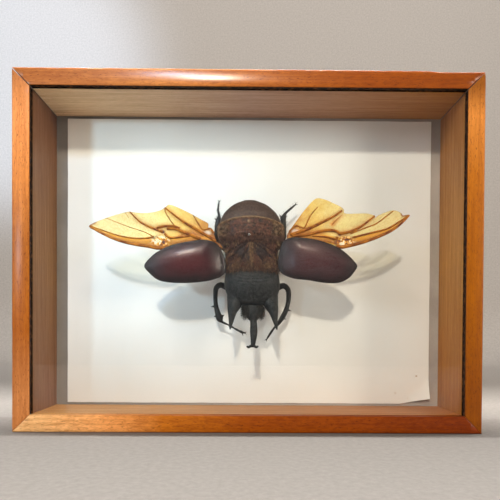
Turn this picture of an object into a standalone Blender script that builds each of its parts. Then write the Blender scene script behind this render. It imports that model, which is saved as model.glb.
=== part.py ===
# Framed rhinoceros beetle: a spread beetle pinned on a white sheet in a glazed wooden box frame.
# The box stands upright. X runs along its width, the glass faces -Y, Z is up, and the origin is
# at the centre of its underside. Sizes are given in millimetres and built in metres.
import math

import bmesh
import bpy
from mathutils import Matrix, Vector

MM = 0.001

# Box frame
FRAME_WIDTH = 260.0
FRAME_HEIGHT = 200.0
FRAME_DEPTH = 48.0
RAIL_WIDTH = 9.7  # the wood seen from the front
GLASS_SETBACK = 3.0  # front face of the wood to front face of the glass
GLASS_THICKNESS = 2.0
GROOVE_DEPTH = 3.2  # the glass sits in a groove in the rails
BOARD_SETBACK = 41.0  # front face of the wood to the backing board
BOARD_THICKNESS = 4.0
REBATE = 4.0  # the board sits in a rebate cut in the back of the rails
GAP = 0.3  # between pieces that touch

# White sheet on the board
SHEET_THICKNESS = 0.5
SHEET_LEFT = -113.3
SHEET_RIGHT = 114.3
SHEET_BOTTOM = 11.2
SHEET_TOP = 188.6
CURL_LENGTH = 18.0  # the lower right corner has come loose over this length
CURL_RISE = 3.2
CURL_TRIM = 3.4

# Beetle: depths are measured from the front face of the wood
BODY_MIDDLE = 17.0  # where the body is widest, seen from the side
BODY_LEAN = 0.032  # the body's long axis leans a little from the vertical
LEAN_X = 0.7
LEAN_Z = 130.0
WING_THICKNESS = 0.5
WING_ROOT_DEPTH = 13.2
WING_TILT = math.radians(3.0)  # the wing tips come nearer to the glass
ELYTRON_RIM_DEPTH = 9.3
ELYTRON_DOME = 3.2
ELYTRON_DIP = 3.5  # its inner end goes down to the thorax
ELYTRON_DIP_START = 25.5
ELYTRON_DIP_LENGTH = 11.0
ELYTRON_THICKNESS = 0.8
PIN_X = 0.3
PIN_Z = 111.2
PIN_RADIUS = 0.35
PIN_HEAD_RADIUS = 0.85
PIN_HEAD_DEPTH = 8.6
PIN_POINT_DEPTH = 43.0

FRONT = -FRAME_DEPTH / 2


def at_depth(depth):
    """Y of a place this far behind the front face of the wood."""
    return FRONT + depth


def place(x, depth, z):
    """A point in metres from millimetres across, behind the front face and up."""
    return Vector((x, at_depth(depth), z)) * MM


def clear_scene():
    for obj in list(bpy.data.objects):
        bpy.data.objects.remove(obj, do_unlink=True)
    for name in ("framed_rhinoceros_beetle", "cutters"):
        collection = bpy.data.collections.new(name)
        bpy.context.scene.collection.children.link(collection)


def link(obj, collection="framed_rhinoceros_beetle"):
    bpy.data.collections[collection].objects.link(obj)
    return obj


def paint(obj, colour, roughness, metallic=0.0, transmission=0.0):
    material = bpy.data.materials.new(obj.name + "_material")
    material.use_nodes = True
    shader = material.node_tree.nodes["Principled BSDF"]
    shader.inputs["Base Color"].default_value = (*colour, 1.0)
    shader.inputs["Roughness"].default_value = roughness
    shader.inputs["Metallic"].default_value = metallic
    shader.inputs["Transmission Weight"].default_value = transmission
    obj.data.materials.clear()
    obj.data.materials.append(material)
    return obj


def finish_mesh(name, bm, collection="framed_rhinoceros_beetle", smooth=True):
    """An object from a bmesh, its faces turned outwards."""
    bmesh.ops.recalc_face_normals(bm, faces=bm.faces)
    mesh = bpy.data.meshes.new(name)
    bm.to_mesh(mesh)
    bm.free()
    if smooth:
        mesh.shade_smooth()
        mesh.set_sharp_from_angle(angle=math.radians(40))
    return link(bpy.data.objects.new(name, mesh), collection)


def box(name, width, depth, height, centre):
    bm = bmesh.new()
    bmesh.ops.create_cube(bm, size=1.0)
    bmesh.ops.scale(bm, vec=(width * MM, depth * MM, height * MM), verts=bm.verts)
    obj = finish_mesh(name, bm, smooth=False)
    obj.location = centre
    return obj


def hide_cutter(obj):
    obj.hide_render = True
    obj.display_type = "WIRE"
    return obj


def boolean(obj, other, operation):
    modifier = obj.modifiers.new(other.name, "BOOLEAN")
    modifier.operation = operation
    modifier.solver = "EXACT"
    modifier.object = other
    return modifier


def mesh_from_curve(curve_object, collection="framed_rhinoceros_beetle"):
    """A mesh object with welded caps in place of a curve object."""
    name = curve_object.name
    curve_object.name = name + "_curve"
    bpy.context.view_layer.update()
    depsgraph = bpy.context.evaluated_depsgraph_get()
    mesh = bpy.data.meshes.new_from_object(curve_object.evaluated_get(depsgraph))
    matrix = curve_object.matrix_world.copy()
    bpy.data.objects.remove(curve_object, do_unlink=True)
    bm = bmesh.new()
    bm.from_mesh(mesh)
    bmesh.ops.remove_doubles(bm, verts=bm.verts, dist=0.000001)
    obj = finish_mesh(name, bm, collection)
    obj.matrix_world = matrix
    return obj


def flat_curve(name, points, half_thickness):
    """A filled outline in the curve's own XY plane, given half of its thickness."""
    curve = bpy.data.curves.new(name, "CURVE")
    curve.dimensions = "2D"
    curve.fill_mode = "BOTH"
    curve.extrude = half_thickness * MM
    spline = curve.splines.new("POLY")
    spline.points.add(len(points) - 1)
    for point, (x, y) in zip(spline.points, points):
        point.co = (x * MM, y * MM, 0.0, 1.0)
    spline.use_cyclic_u = True
    return link(bpy.data.objects.new(name, curve))


def tube(name, points, collection="framed_rhinoceros_beetle"):
    """A tapering round bar through (x, depth, z, radius) points."""
    curve = bpy.data.curves.new(name, "CURVE")
    curve.dimensions = "3D"
    curve.bevel_depth = MM
    curve.bevel_resolution = 2
    curve.use_fill_caps = True
    spline = curve.splines.new("POLY")
    spline.points.add(len(points) - 1)
    for point, (x, depth, z, radius) in zip(spline.points, points):
        point.co = (*place(x, depth, z), 1.0)
        point.radius = radius
    obj = bpy.data.objects.new(name, curve)
    link(obj)
    return mesh_from_curve(obj, collection)


def smooth_path(points, steps):
    """Points of a Catmull-Rom curve through the given ones, with steps between each two."""
    path = []
    count = len(points)
    for i in range(count - 1):
        before = points[max(i - 1, 0)]
        start = points[i]
        end = points[i + 1]
        after = points[min(i + 2, count - 1)]
        for step in range(steps):
            t = step / steps
            path.append(
                tuple(
                    0.5 * (2 * b + (c - a) * t + (2 * a - 5 * b + 4 * c - d) * t**2
                           + (3 * b - a - 3 * c + d) * t**3)
                    for a, b, c, d in zip(before, start, end, after)
                )
            )
    path.append(tuple(points[-1]))
    return path


def smooth_ring(points, steps):
    """The same for a closed outline."""
    count = len(points)
    padded = [points[-1], *points, points[0], points[1]]
    path = smooth_path(padded, steps)
    return path[steps:steps * (count + 1)]


# Box frame

def build_rail(name, length, angle, centre):
    """One side of the frame, mitred at both ends. It is built lying along X with the opening
    above it and then turned about Y."""
    inner = RAIL_WIDTH
    groove_front = GLASS_SETBACK - GAP
    groove_back = GLASS_SETBACK + GLASS_THICKNESS + GAP
    rebate_front = BOARD_SETBACK - GAP
    profile = [
        (0.0, 0.0),
        (FRAME_DEPTH, 0.0),
        (FRAME_DEPTH, inner - REBATE),
        (rebate_front, inner - REBATE),
        (rebate_front, inner),
        (groove_back, inner),
        (groove_back, inner - GROOVE_DEPTH),
        (groove_front, inner - GROOVE_DEPTH),
        (groove_front, inner),
        (0.0, inner),
    ]
    curve = flat_curve(name, profile, length / 2)
    bar = mesh_from_curve(curve)
    bm = bmesh.new()
    bm.from_mesh(bar.data)
    along_x = Matrix(((0, 0, 1, 0), (1, 0, 0, FRONT * MM), (0, 1, 0, 0), (0, 0, 0, 1)))
    bmesh.ops.transform(bm, matrix=along_x, verts=bm.verts)
    for side in (-1, 1):
        corner = Vector((side * (length / 2 - GAP / math.sqrt(2)), 0.0, 0.0)) * MM
        cut = bmesh.ops.bisect_plane(
            bm,
            geom=[*bm.verts, *bm.edges, *bm.faces],
            plane_co=corner,
            plane_no=(side, 0.0, 1.0),
            clear_outer=True,
        )
        edges = [item for item in cut["geom_cut"] if isinstance(item, bmesh.types.BMEdge)]
        bmesh.ops.edgenet_fill(bm, edges=edges)
    bmesh.ops.recalc_face_normals(bm, faces=bm.faces)
    bm.to_mesh(bar.data)
    bm.free()
    bar.data.shade_flat()
    bar.rotation_euler = (0.0, angle, 0.0)
    bar.location = Vector(centre) * MM
    return paint(bar, (0.50, 0.22, 0.06), 0.32)


def build_frame():
    build_rail("bottom_rail", FRAME_WIDTH, 0.0, (0.0, 0.0, 0.0))
    build_rail("top_rail", FRAME_WIDTH, math.pi, (0.0, 0.0, FRAME_HEIGHT))
    half = FRAME_WIDTH / 2
    middle = FRAME_HEIGHT / 2
    build_rail("left_stile", FRAME_HEIGHT, math.pi / 2, (-half, 0.0, middle))
    build_rail("right_stile", FRAME_HEIGHT, -math.pi / 2, (half, 0.0, middle))


def build_glass():
    inset = RAIL_WIDTH - GROOVE_DEPTH + GAP
    depth = GLASS_SETBACK + GLASS_THICKNESS / 2
    pane = box(
        "glass_pane",
        FRAME_WIDTH - 2 * inset,
        GLASS_THICKNESS,
        FRAME_HEIGHT - 2 * inset,
        place(0.0, depth, FRAME_HEIGHT / 2),
    )
    paint(pane, (0.95, 0.98, 0.97), 0.03, transmission=1.0)


def build_board():
    inset = RAIL_WIDTH - REBATE + GAP
    board = box(
        "backing_board",
        FRAME_WIDTH - 2 * inset,
        BOARD_THICKNESS,
        FRAME_HEIGHT - 2 * inset,
        place(0.0, BOARD_SETBACK + BOARD_THICKNESS / 2, FRAME_HEIGHT / 2),
    )
    boolean(board, pin_cutter("board"), "DIFFERENCE")
    paint(board, (0.23, 0.20, 0.18), 0.9)


def build_sheet():
    """The white sheet, its lower right corner lifted off the board."""
    across = 28
    up = 22
    back = BOARD_SETBACK - GAP
    bm = bmesh.new()
    bmesh.ops.create_grid(bm, x_segments=across, y_segments=up, size=0.5)
    for vert in bm.verts:
        x = SHEET_LEFT + (SHEET_RIGHT - SHEET_LEFT) * (vert.co.x + 0.5)
        z = SHEET_BOTTOM + (SHEET_TOP - SHEET_BOTTOM) * (vert.co.y + 0.5)
        reach = CURL_LENGTH - (SHEET_RIGHT - x) - (z - SHEET_BOTTOM)
        share = max(0.0, reach / CURL_LENGTH)
        z += CURL_TRIM * share
        vert.co = place(x, back - CURL_RISE * share**1.6, z)
    used = [v for v in bm.verts if v.is_boundary or (v.co.x > 0.09 and v.co.z < 0.036)]
    inner = [v for v in bm.verts if v not in used]
    bmesh.ops.dissolve_verts(bm, verts=inner)
    bmesh.ops.triangulate(bm, faces=bm.faces)
    bm.faces.ensure_lookup_table()
    bm.normal_update()
    if bm.faces[0].normal.y > 0:
        bmesh.ops.reverse_faces(bm, faces=bm.faces)
    mesh = bpy.data.meshes.new("backing_sheet")
    bm.to_mesh(mesh)
    bm.free()
    sheet = link(bpy.data.objects.new("backing_sheet", mesh))
    solid = sheet.modifiers.new("thickness", "SOLIDIFY")
    solid.thickness = SHEET_THICKNESS * MM
    solid.offset = 1.0
    boolean(sheet, pin_cutter("sheet"), "DIFFERENCE")
    paint(sheet, (0.86, 0.87, 0.85), 0.75)


# Pin

def rod(name, radius, front, back, collection):
    """A round bar along Y at the pin's place."""
    bm = bmesh.new()
    bmesh.ops.create_cone(
        bm,
        cap_ends=True,
        segments=12,
        radius1=radius * MM,
        radius2=radius * MM,
        depth=(back - front) * MM,
        matrix=Matrix.Rotation(math.radians(90), 4, "X"),
    )
    obj = finish_mesh(name, bm, collection)
    obj.location = place(PIN_X, (front + back) / 2, PIN_Z)
    return obj


def pin_cutter(what):
    """The hole that the pin makes in a piece."""
    ends = {
        "body": (PIN_HEAD_DEPTH - 1.0, BOARD_SETBACK - 2.0),
        "sheet": (BOARD_SETBACK - 2.0, BOARD_SETBACK + 1.0),
        "board": (BOARD_SETBACK - 1.0, PIN_POINT_DEPTH + GAP),
    }
    front, back = ends[what]
    hole = rod("pin_hole_in_" + what, PIN_RADIUS + GAP, front, back, "cutters")
    return hide_cutter(hole)


def build_pin():
    pin = rod("mount_pin", PIN_RADIUS, PIN_HEAD_DEPTH, PIN_POINT_DEPTH, "framed_rhinoceros_beetle")
    bm = bmesh.new()
    bmesh.ops.create_uvsphere(bm, u_segments=12, v_segments=8, radius=PIN_HEAD_RADIUS * MM)
    head = hide_cutter(finish_mesh("pin_head", bm, "cutters"))
    head.location = place(PIN_X, PIN_HEAD_DEPTH + 0.2, PIN_Z)
    boolean(pin, head, "UNION")
    paint(pin, (0.6, 0.6, 0.6), 0.25, metallic=1.0)


# Body

def axis_x(z):
    """X of the body's long axis at a height."""
    return LEAN_X + (LEAN_Z - z) * BODY_LEAN


def loft(name, stations, sides=24, squareness=2.3, collection="framed_rhinoceros_beetle"):
    """A closed body through rings across the long axis. A station is its height, its half width,
    and the depths of its front and back."""
    bm = bmesh.new()
    rings = []
    for z, half_width, front, back in stations:
        ring = []
        for i in range(sides):
            angle = 2 * math.pi * i / sides
            cosine = math.cos(angle)
            sine = math.sin(angle)
            x = half_width * math.copysign(abs(cosine) ** (2 / squareness), cosine)
            reach = (BODY_MIDDLE - front) if sine > 0 else (back - BODY_MIDDLE)
            rise = reach * math.copysign(abs(sine) ** (2 / squareness), sine)
            ring.append(bm.verts.new(place(axis_x(z) + x, BODY_MIDDLE - rise, z)))
        rings.append(ring)
    for lower, upper in zip(rings, rings[1:]):
        for i in range(sides):
            j = (i + 1) % sides
            bm.faces.new((lower[i], lower[j], upper[j], upper[i]))
    bm.faces.new(rings[0])
    bm.faces.new(rings[-1])
    return finish_mesh(name, bm, collection)


def build_abdomen():
    stations = smooth_path(
        [
            (109.4, 18.2, 10.3, 30.8),
            (113.6, 19.0, 9.8, 30.4),
            (118.5, 18.1, 9.8, 29.4),
            (123.5, 16.0, 10.4, 27.4),
            (126.5, 13.6, 11.4, 25.6),
            (130.0, 9.2, 13.4, 22.4),
            (132.4, 3.2, 15.8, 18.8),
        ],
        2,
    )
    abdomen = loft("abdomen", stations)
    boolean(abdomen, pin_cutter("body"), "DIFFERENCE")
    paint(abdomen, (0.10, 0.062, 0.045), 0.45)


def build_thorax():
    stations = smooth_path(
        [
            (91.3, 15.2, 11.4, 30.6),
            (95.7, 15.3, 10.8, 30.8),
            (101.9, 15.4, 11.0, 31.0),
            (106.8, 17.0, 10.8, 31.0),
            (109.1, 18.1, 10.4, 30.9),
        ],
        2,
    )
    paint(loft("thorax", stations), (0.12, 0.07, 0.035), 0.6)


PRONOTAL_HORN = [
    # across from the body axis, depth, height, radius
    (9.7, 17.4, 79.0, 5.2),
    (10.0, 16.4, 75.0, 4.9),
    (10.8, 15.0, 71.5, 4.1),
    (11.7, 13.8, 68.5, 3.1),
    (12.2, 12.8, 65.5, 2.2),
    (12.7, 12.0, 61.8, 1.4),
    (13.2, 11.2, 59.0, 0.8),
    (13.4, 10.8, 57.1, 0.3),
]


def build_pronotum():
    stations = smooth_path(
        [
            (71.9, 9.0, 12.6, 24.4),
            (74.0, 12.6, 10.6, 26.6),
            (77.7, 14.8, 9.0, 28.4),
            (82.5, 16.2, 8.2, 29.4),
            (87.0, 15.9, 8.6, 29.8),
            (91.0, 15.2, 10.6, 29.6),
        ],
        2,
    )
    pronotum = loft("pronotum", stations, squareness=2.1)
    for side, label in ((-1, "left"), (1, "right")):
        points = [(axis_x(z) + side * x, depth, z, radius) for x, depth, z, radius in PRONOTAL_HORN]
        horn = hide_cutter(tube("pronotal_horn_" + label, points, "cutters"))
        boolean(pronotum, horn, "UNION")
    paint(pronotum, (0.03, 0.03, 0.033), 0.6)


def build_head():
    stations = smooth_path(
        [
            (62.6, 2.3, 13.6, 19.6),
            (64.6, 3.9, 12.8, 21.6),
            (67.0, 5.2, 12.6, 23.0),
            (69.5, 5.9, 12.9, 23.6),
            (71.5, 6.1, 13.4, 23.6),
        ],
        2,
    )
    head = loft("head", stations, sides=20)
    horn_points = [
        (2.6, 16.6, 66.5, 2.3),
        (3.0, 15.2, 62.8, 2.0),
        (3.2, 13.6, 59.5, 2.05),
        (3.2, 12.2, 56.0, 2.2),
        (3.1, 11.2, 52.6, 1.8),
        (2.9, 10.6, 49.8, 1.45),
        (2.7, 10.3, 47.6, 1.1),
    ]
    fork_points = [
        (-0.8, 9.5, 47.9, 0.45),
        (0.2, 10.0, 47.3, 0.75),
        (1.6, 10.4, 47.9, 0.8),
        (3.4, 10.4, 47.9, 0.8),
        (4.8, 10.0, 47.4, 0.75),
        (5.8, 9.5, 48.0, 0.45),
    ]
    horn = hide_cutter(tube("head_horn", horn_points, "cutters"))
    fork = hide_cutter(tube("head_horn_fork", fork_points, "cutters"))
    boolean(head, horn, "UNION")
    boolean(head, fork, "UNION")
    paint(head, (0.03, 0.03, 0.033), 0.5)


# Wings

ELYTRON_LEFT = [
    (-58.2, 93.8), (-54.4, 99.4), (-49.4, 102.3), (-43.3, 104.8), (-34.1, 107.0),
    (-26.4, 108.1), (-20.2, 107.2), (-16.4, 104.2), (-13.6, 98.0), (-12.9, 91.9),
    (-14.8, 88.1), (-20.1, 85.6), (-26.3, 84.2), (-35.6, 83.4), (-45.7, 83.7),
    (-51.4, 85.2), (-56.2, 88.8),
]
ELYTRON_RIGHT = [
    (61.0, 92.6), (59.8, 96.6), (56.8, 99.7), (52.1, 103.0), (45.9, 106.1), (36.6, 108.8),
    (27.3, 109.9), (21.8, 109.1), (18.6, 105.6), (17.0, 99.0), (17.2, 92.6), (19.7, 89.0),
    (26.0, 86.4), (33.7, 85.5), (43.0, 84.0), (50.7, 84.0), (56.3, 86.0), (60.0, 89.0),
]
ELYTRON_RINGS = (1.0, 0.93, 0.78, 0.55, 0.28)


def elytron_depth(x, z, share):
    """Depth of a wing case at a place that is this share of the way from its middle to its rim."""
    away = abs(x - axis_x(z))
    dip = max(0.0, (ELYTRON_DIP_START - away) / ELYTRON_DIP_LENGTH)
    return ELYTRON_RIM_DEPTH - ELYTRON_DOME * (1 - share**2.4) + ELYTRON_DIP * dip**1.5


def build_elytron(name, outline):
    """A wing case: a shallow dome within its outline, open at the back."""
    rim = smooth_ring(outline, 2)
    centre_x = sum(x for x, z in rim) / len(rim)
    centre_z = sum(z for x, z in rim) / len(rim)
    bm = bmesh.new()
    rings = []
    for share in ELYTRON_RINGS:
        ring = []
        for rim_x, rim_z in rim:
            x = centre_x + (rim_x - centre_x) * share
            z = centre_z + (rim_z - centre_z) * share
            ring.append(bm.verts.new(place(x, elytron_depth(x, z, share), z)))
        rings.append(ring)
    count = len(rim)
    for outer, inner in zip(rings, rings[1:]):
        for i in range(count):
            j = (i + 1) % count
            bm.faces.new((outer[i], outer[j], inner[j], inner[i]))
    middle = bm.verts.new(place(centre_x, elytron_depth(centre_x, centre_z, 0.0), centre_z))
    for i in range(count):
        j = (i + 1) % count
        bm.faces.new((rings[-1][i], rings[-1][j], middle))
    bmesh.ops.recalc_face_normals(bm, faces=bm.faces)
    bm.faces.ensure_lookup_table()
    if bm.faces[-1].normal.y > 0:
        bmesh.ops.reverse_faces(bm, faces=bm.faces)
    mesh = bpy.data.meshes.new(name)
    bm.to_mesh(mesh)
    bm.free()
    mesh.shade_smooth()
    obj = link(bpy.data.objects.new(name, mesh))
    solid = obj.modifiers.new("thickness", "SOLIDIFY")
    solid.thickness = ELYTRON_THICKNESS * MM
    solid.offset = -1.0
    paint(obj, (0.055, 0.026, 0.03), 0.25)


WING_LEFT = [
    (-90.0, 115.2), (-80.9, 120.1), (-70.1, 123.4), (-67.4, 123.7), (-59.7, 123.2),
    (-51.4, 124.6), (-47.9, 126.5), (-45.5, 128.4), (-40.7, 126.9), (-33.5, 123.5),
    (-27.5, 120.3), (-23.3, 118.0), (-23.0, 115.3), (-19.9, 112.0), (-18.6, 107.8),
    (-16.2, 106.2), (-15.8, 103.4), (-28.0, 101.4), (-40.0, 101.6), (-51.3, 103.0), (-57.3, 104.0),
    (-66.2, 105.2), (-75.0, 107.5), (-83.8, 111.4),
]
WING_RIGHT = [
    (91.0, 122.7), (87.4, 118.6), (81.5, 113.9), (72.8, 109.7), (63.9, 106.7), (54.9, 104.6),
    (42.0, 102.6), (30.0, 102.4), (18.9, 103.4), (19.4, 106.2), (21.8, 108.4), (22.2, 112.3), (26.7, 118.9), (32.0, 126.1),
    (38.0, 132.3), (42.8, 132.0), (48.8, 129.6), (53.9, 126.5), (54.8, 124.1), (60.8, 123.8),
    (66.7, 123.8), (71.5, 122.6), (72.1, 121.1), (73.8, 122.8), (81.5, 125.5), (86.2, 124.3),
    (87.6, 122.8),
]


def build_hind_wing(name, outline, side):
    """A membrane plate, turned about its root so that its tip comes nearer to the glass."""
    root_x = side * 18.0
    flat = [(x - root_x, z) for x, z in outline]
    curve = flat_curve(name, flat, WING_THICKNESS / 2)
    wing = mesh_from_curve(curve)
    stand_up = Matrix.Rotation(math.radians(90), 4, "X")
    turn = Matrix.Rotation(-side * WING_TILT, 4, "Z")
    wing.matrix_world = Matrix.Translation(place(root_x, WING_ROOT_DEPTH, 0.0)) @ turn @ stand_up
    paint(wing, (0.62, 0.33, 0.05), 0.3)


# Legs

def build_leg(name, path, spurs):
    """A leg from its root to its last claw, with the spurs of its tibia."""
    leg = tube(name, smooth_path(path, 2))
    for number, (x, depth, z, radius, tip_x, tip_depth, tip_z) in enumerate(spurs):
        points = [(x, depth, z, radius), (tip_x, tip_depth, tip_z, 0.12)]
        spur = hide_cutter(tube(f"{name}_spur_{number}", points, "cutters"))
        boolean(leg, spur, "UNION")
    paint(leg, (0.028, 0.028, 0.03), 0.45)


def build_legs():
    build_leg(
        "front_leg_left",
        [
            (-11.8, 27.2, 82.0, 1.8), (-16.4, 27.6, 84.2, 1.8), (-19.4, 28.8, 82.4, 1.6),
            (-20.0, 29.6, 77.4, 1.35), (-19.6, 30.2, 71.8, 1.4), (-18.4, 30.8, 67.0, 1.8),
            (-17.2, 31.2, 63.8, 2.1), (-15.8, 31.6, 62.0, 0.8), (-11.6, 32.0, 60.0, 0.55),
            (-7.0, 32.4, 57.4, 0.6), (-3.6, 32.8, 55.8, 0.75), (-1.4, 33.0, 55.4, 0.25),
        ],
        [
            (-19.8, 30.0, 71.6, 0.9, -22.8, 30.0, 71.1), (-18.4, 30.8, 65.8, 0.9, -21.0, 30.8, 65.2),
            (-16.8, 31.0, 65.0, 1.3, -14.6, 31.0, 66.4), (-3.8, 32.8, 55.9, 0.5, -3.0, 32.8, 53.4),
        ],
    )
    build_leg(
        "front_leg_right",
        [
            (16.6, 27.2, 82.0, 1.8), (21.0, 27.6, 84.0, 1.8), (24.0, 28.8, 81.8, 1.6),
            (24.6, 29.6, 77.2, 1.5), (24.0, 30.2, 72.6, 1.35), (22.8, 30.8, 68.6, 1.5),
            (20.6, 31.2, 64.4, 1.5), (18.2, 31.6, 60.8, 1.0), (16.2, 32.0, 58.8, 0.6),
            (13.6, 32.4, 55.0, 0.75), (11.1, 32.8, 50.9, 0.35),
        ],
        [
            (23.2, 30.4, 69.8, 0.9, 26.4, 30.4, 68.9), (20.8, 31.0, 65.4, 0.9, 23.2, 31.0, 63.6),
        ],
    )
    build_leg(
        "middle_leg_left",
        [
            (-5.0, 33.2, 97.6, 1.7), (-16.0, 32.8, 95.6, 1.8), (-25.0, 33.0, 94.0, 1.6),
            (-29.6, 33.6, 96.2, 1.3), (-33.6, 34.6, 99.6, 1.5), (-37.6, 36.0, 102.2, 1.5),
            (-39.2, 36.6, 102.6, 0.7), (-44.0, 37.4, 103.0, 0.6), (-49.0, 38.2, 101.6, 0.4),
        ],
        [(-34.0, 34.8, 99.8, 0.8, -35.6, 34.8, 97.0)],
    )
    build_leg(
        "middle_leg_right",
        [
            (8.4, 33.2, 97.6, 1.7), (19.0, 32.8, 95.6, 1.8), (28.0, 33.0, 94.6, 1.6),
            (32.6, 33.6, 96.8, 1.3), (36.6, 34.6, 100.0, 1.5), (40.6, 36.0, 102.6, 1.5),
            (42.2, 36.6, 103.0, 0.7), (47.0, 37.4, 103.2, 0.6), (52.0, 38.2, 101.8, 0.4),
        ],
        [(37.0, 34.8, 100.2, 0.8, 38.6, 34.8, 97.4)],
    )
    build_leg(
        "hind_leg_left",
        [
            (-5.0, 33.4, 103.4, 1.8), (-14.4, 32.8, 107.0, 1.9), (-19.6, 31.2, 112.4, 1.4),
            (-19.4, 30.2, 117.0, 1.5), (-18.8, 29.8, 121.4, 1.7), (-18.2, 29.8, 124.4, 1.5),
            (-18.0, 30.0, 126.6, 0.8), (-18.7, 30.6, 130.6, 0.65), (-18.0, 31.2, 135.8, 0.3),
        ],
        [
            (-18.8, 29.8, 123.0, 0.8, -20.8, 29.8, 125.0), (-18.4, 30.6, 131.0, 0.4, -19.7, 30.6, 129.4),
        ],
    )
    build_leg(
        "hind_leg_right",
        [
            (8.2, 33.4, 103.4, 1.8), (16.6, 32.8, 107.0, 1.9), (21.2, 31.2, 112.8, 1.4),
            (21.3, 30.2, 117.0, 1.5), (21.0, 29.8, 121.6, 1.8), (21.0, 29.8, 125.2, 1.7),
            (22.2, 30.0, 128.0, 0.8), (25.6, 30.6, 131.3, 0.7), (28.9, 31.2, 134.2, 0.3),
        ],
        [
            (20.4, 29.8, 124.2, 0.8, 18.6, 29.8, 127.6), (21.8, 29.8, 124.2, 0.7, 23.2, 29.8, 127.0),
        ],
    )


def main():
    clear_scene()
    build_frame()
    build_glass()
    build_board()
    build_sheet()
    build_pin()
    build_abdomen()
    build_thorax()
    build_pronotum()
    build_head()
    build_elytron("elytron_left", ELYTRON_LEFT)
    build_elytron("elytron_right", ELYTRON_RIGHT)
    build_hind_wing("hind_wing_left", WING_LEFT, -1)
    build_hind_wing("hind_wing_right", WING_RIGHT, 1)
    build_legs()


main()
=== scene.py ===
# Framed rhinoceros beetle: the looks of a spread beetle pinned on a white sheet in a glazed wooden
# box frame. X runs along the frame's width, the glass faces -Y, Z is up. Sizes are in millimetres
# and built in metres; a depth is measured from the front face of the wood.
import math
import random

import bmesh
import bpy
from mathutils import Euler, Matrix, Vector, noise
from mathutils.geometry import delaunay_2d_cdt


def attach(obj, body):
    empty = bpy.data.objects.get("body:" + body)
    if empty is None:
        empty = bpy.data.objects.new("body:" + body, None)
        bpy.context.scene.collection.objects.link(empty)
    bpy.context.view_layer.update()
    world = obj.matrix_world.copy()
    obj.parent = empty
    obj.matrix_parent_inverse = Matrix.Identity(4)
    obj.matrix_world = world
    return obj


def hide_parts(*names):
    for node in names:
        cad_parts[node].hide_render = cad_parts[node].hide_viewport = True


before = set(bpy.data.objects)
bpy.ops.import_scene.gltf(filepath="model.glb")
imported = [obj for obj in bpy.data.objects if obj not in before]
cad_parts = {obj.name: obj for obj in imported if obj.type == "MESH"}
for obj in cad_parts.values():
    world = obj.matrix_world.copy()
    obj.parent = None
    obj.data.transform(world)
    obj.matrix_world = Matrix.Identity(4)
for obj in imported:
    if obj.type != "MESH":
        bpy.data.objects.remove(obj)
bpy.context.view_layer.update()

MM = 0.001

# Box frame
FRAME_WIDTH = 260.0
FRAME_HEIGHT = 200.0
FRAME_DEPTH = 48.0
RAIL_WIDTH = 9.7
RAIL_CUTS = 39
EDGE_ROUNDINGS = ((1.1, 4), (0.7, 3), (0.45, 3), (0.32, 2))  # width and segments
WORN_EDGE = 1.2  # the wood is dented this far from its outer edges
INSIDE_INDEX = 1  # places of a rail's materials, after its varnished front
LIP_INDEX = 2
LIP_START = 1.1
LIP_OVERLAP = 0.5
GLASS_SETBACK = 3.0
GLASS_THICKNESS = 2.0
GROOVE_DEPTH = 3.2
BOARD_SETBACK = 41.0
REBATE = 4.0
GAP = 0.3
MITRE_GAP = 0.1
OPEN_MITRE = 0.55  # how much wider the two upper mitres gape at their outer end
CHIP_START = 101.0  # the top rail's upper edge is chipped from here to its right end
CHIP_DEPTH = 0.6

# Sheet
SHEET_THICKNESS = 0.5
SHEET_LEFT = -113.3
SHEET_RIGHT = 114.3
SHEET_BOTTOM = 11.2
SHEET_TOP = 188.6
CURL_LENGTH = 18.0
CURL_RISE = 3.2
CURL_TRIM = 3.4
PAPER_SHARE = 0.6  # how much of the solid's thickness the paper fills

# Beetle
BODY_MIDDLE = 17.0
BODY_LEAN = 0.032
LEAN_X = 0.7  # the body's long axis passes here at the height LEAN_Z
LEAN_Z = 130.0
WING_ROOT = 18.0
WING_ROOT_DEPTH = 13.2
WING_TILT = math.tan(math.radians(3.0))
WING_SPACING = 0.55
MEMBRANE_THICKNESS = 0.1
VEIN_GIRTH = 1.9
ELYTRON_RIM_DEPTH = 9.3
ELYTRON_DOME = 2.6
ELYTRON_RISE = 0.07
ELYTRON_DIP = 2.0
ELYTRON_DIP_START = 29.0
ELYTRON_DIP_LENGTH = 11.0
ELYTRON_THICKNESS = 0.8
HEAD_X = 2.7
LEG_STEPS = 6
FIRST_HAIR_SEED = 3
PIN_X = 0.3
PIN_Z = 111.2
PIN_RADIUS = 0.35
PIN_HEAD_RADIUS = 0.85
PIN_HEAD_DEPTH = 8.6
PIN_POINT_DEPTH = 43.0
PIN_TAPER = 2.0

FRONT = -FRAME_DEPTH / 2
NEAR = 0.05  # how close an edge's end is to the line that the edge is looked for on
NO_SHIFT = (0.0, 0.0, 0.0)
OUT_OF_GLASS = Vector((0.0, -1.0, 0.0))
UP = Vector((0.0, 0.0, 1.0))


# Places and paths

def place(x, depth, z):
    """A point in metres from millimetres across, behind the front face and up."""
    return Vector((x, FRONT + depth, z)) * MM


def millimetres(co):
    """Across, depth and height in millimetres of a point in metres."""
    return co.x / MM, co.y / MM - FRONT, co.z / MM


def axis_x(z):
    """X of the body's long axis at a height."""
    return LEAN_X + (LEAN_Z - z) * BODY_LEAN


def clamp(value, low=0.0, high=1.0):
    return max(low, min(high, value))


def soft_step(value):
    value = clamp(value)
    return value * value * (3 - 2 * value)


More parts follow.
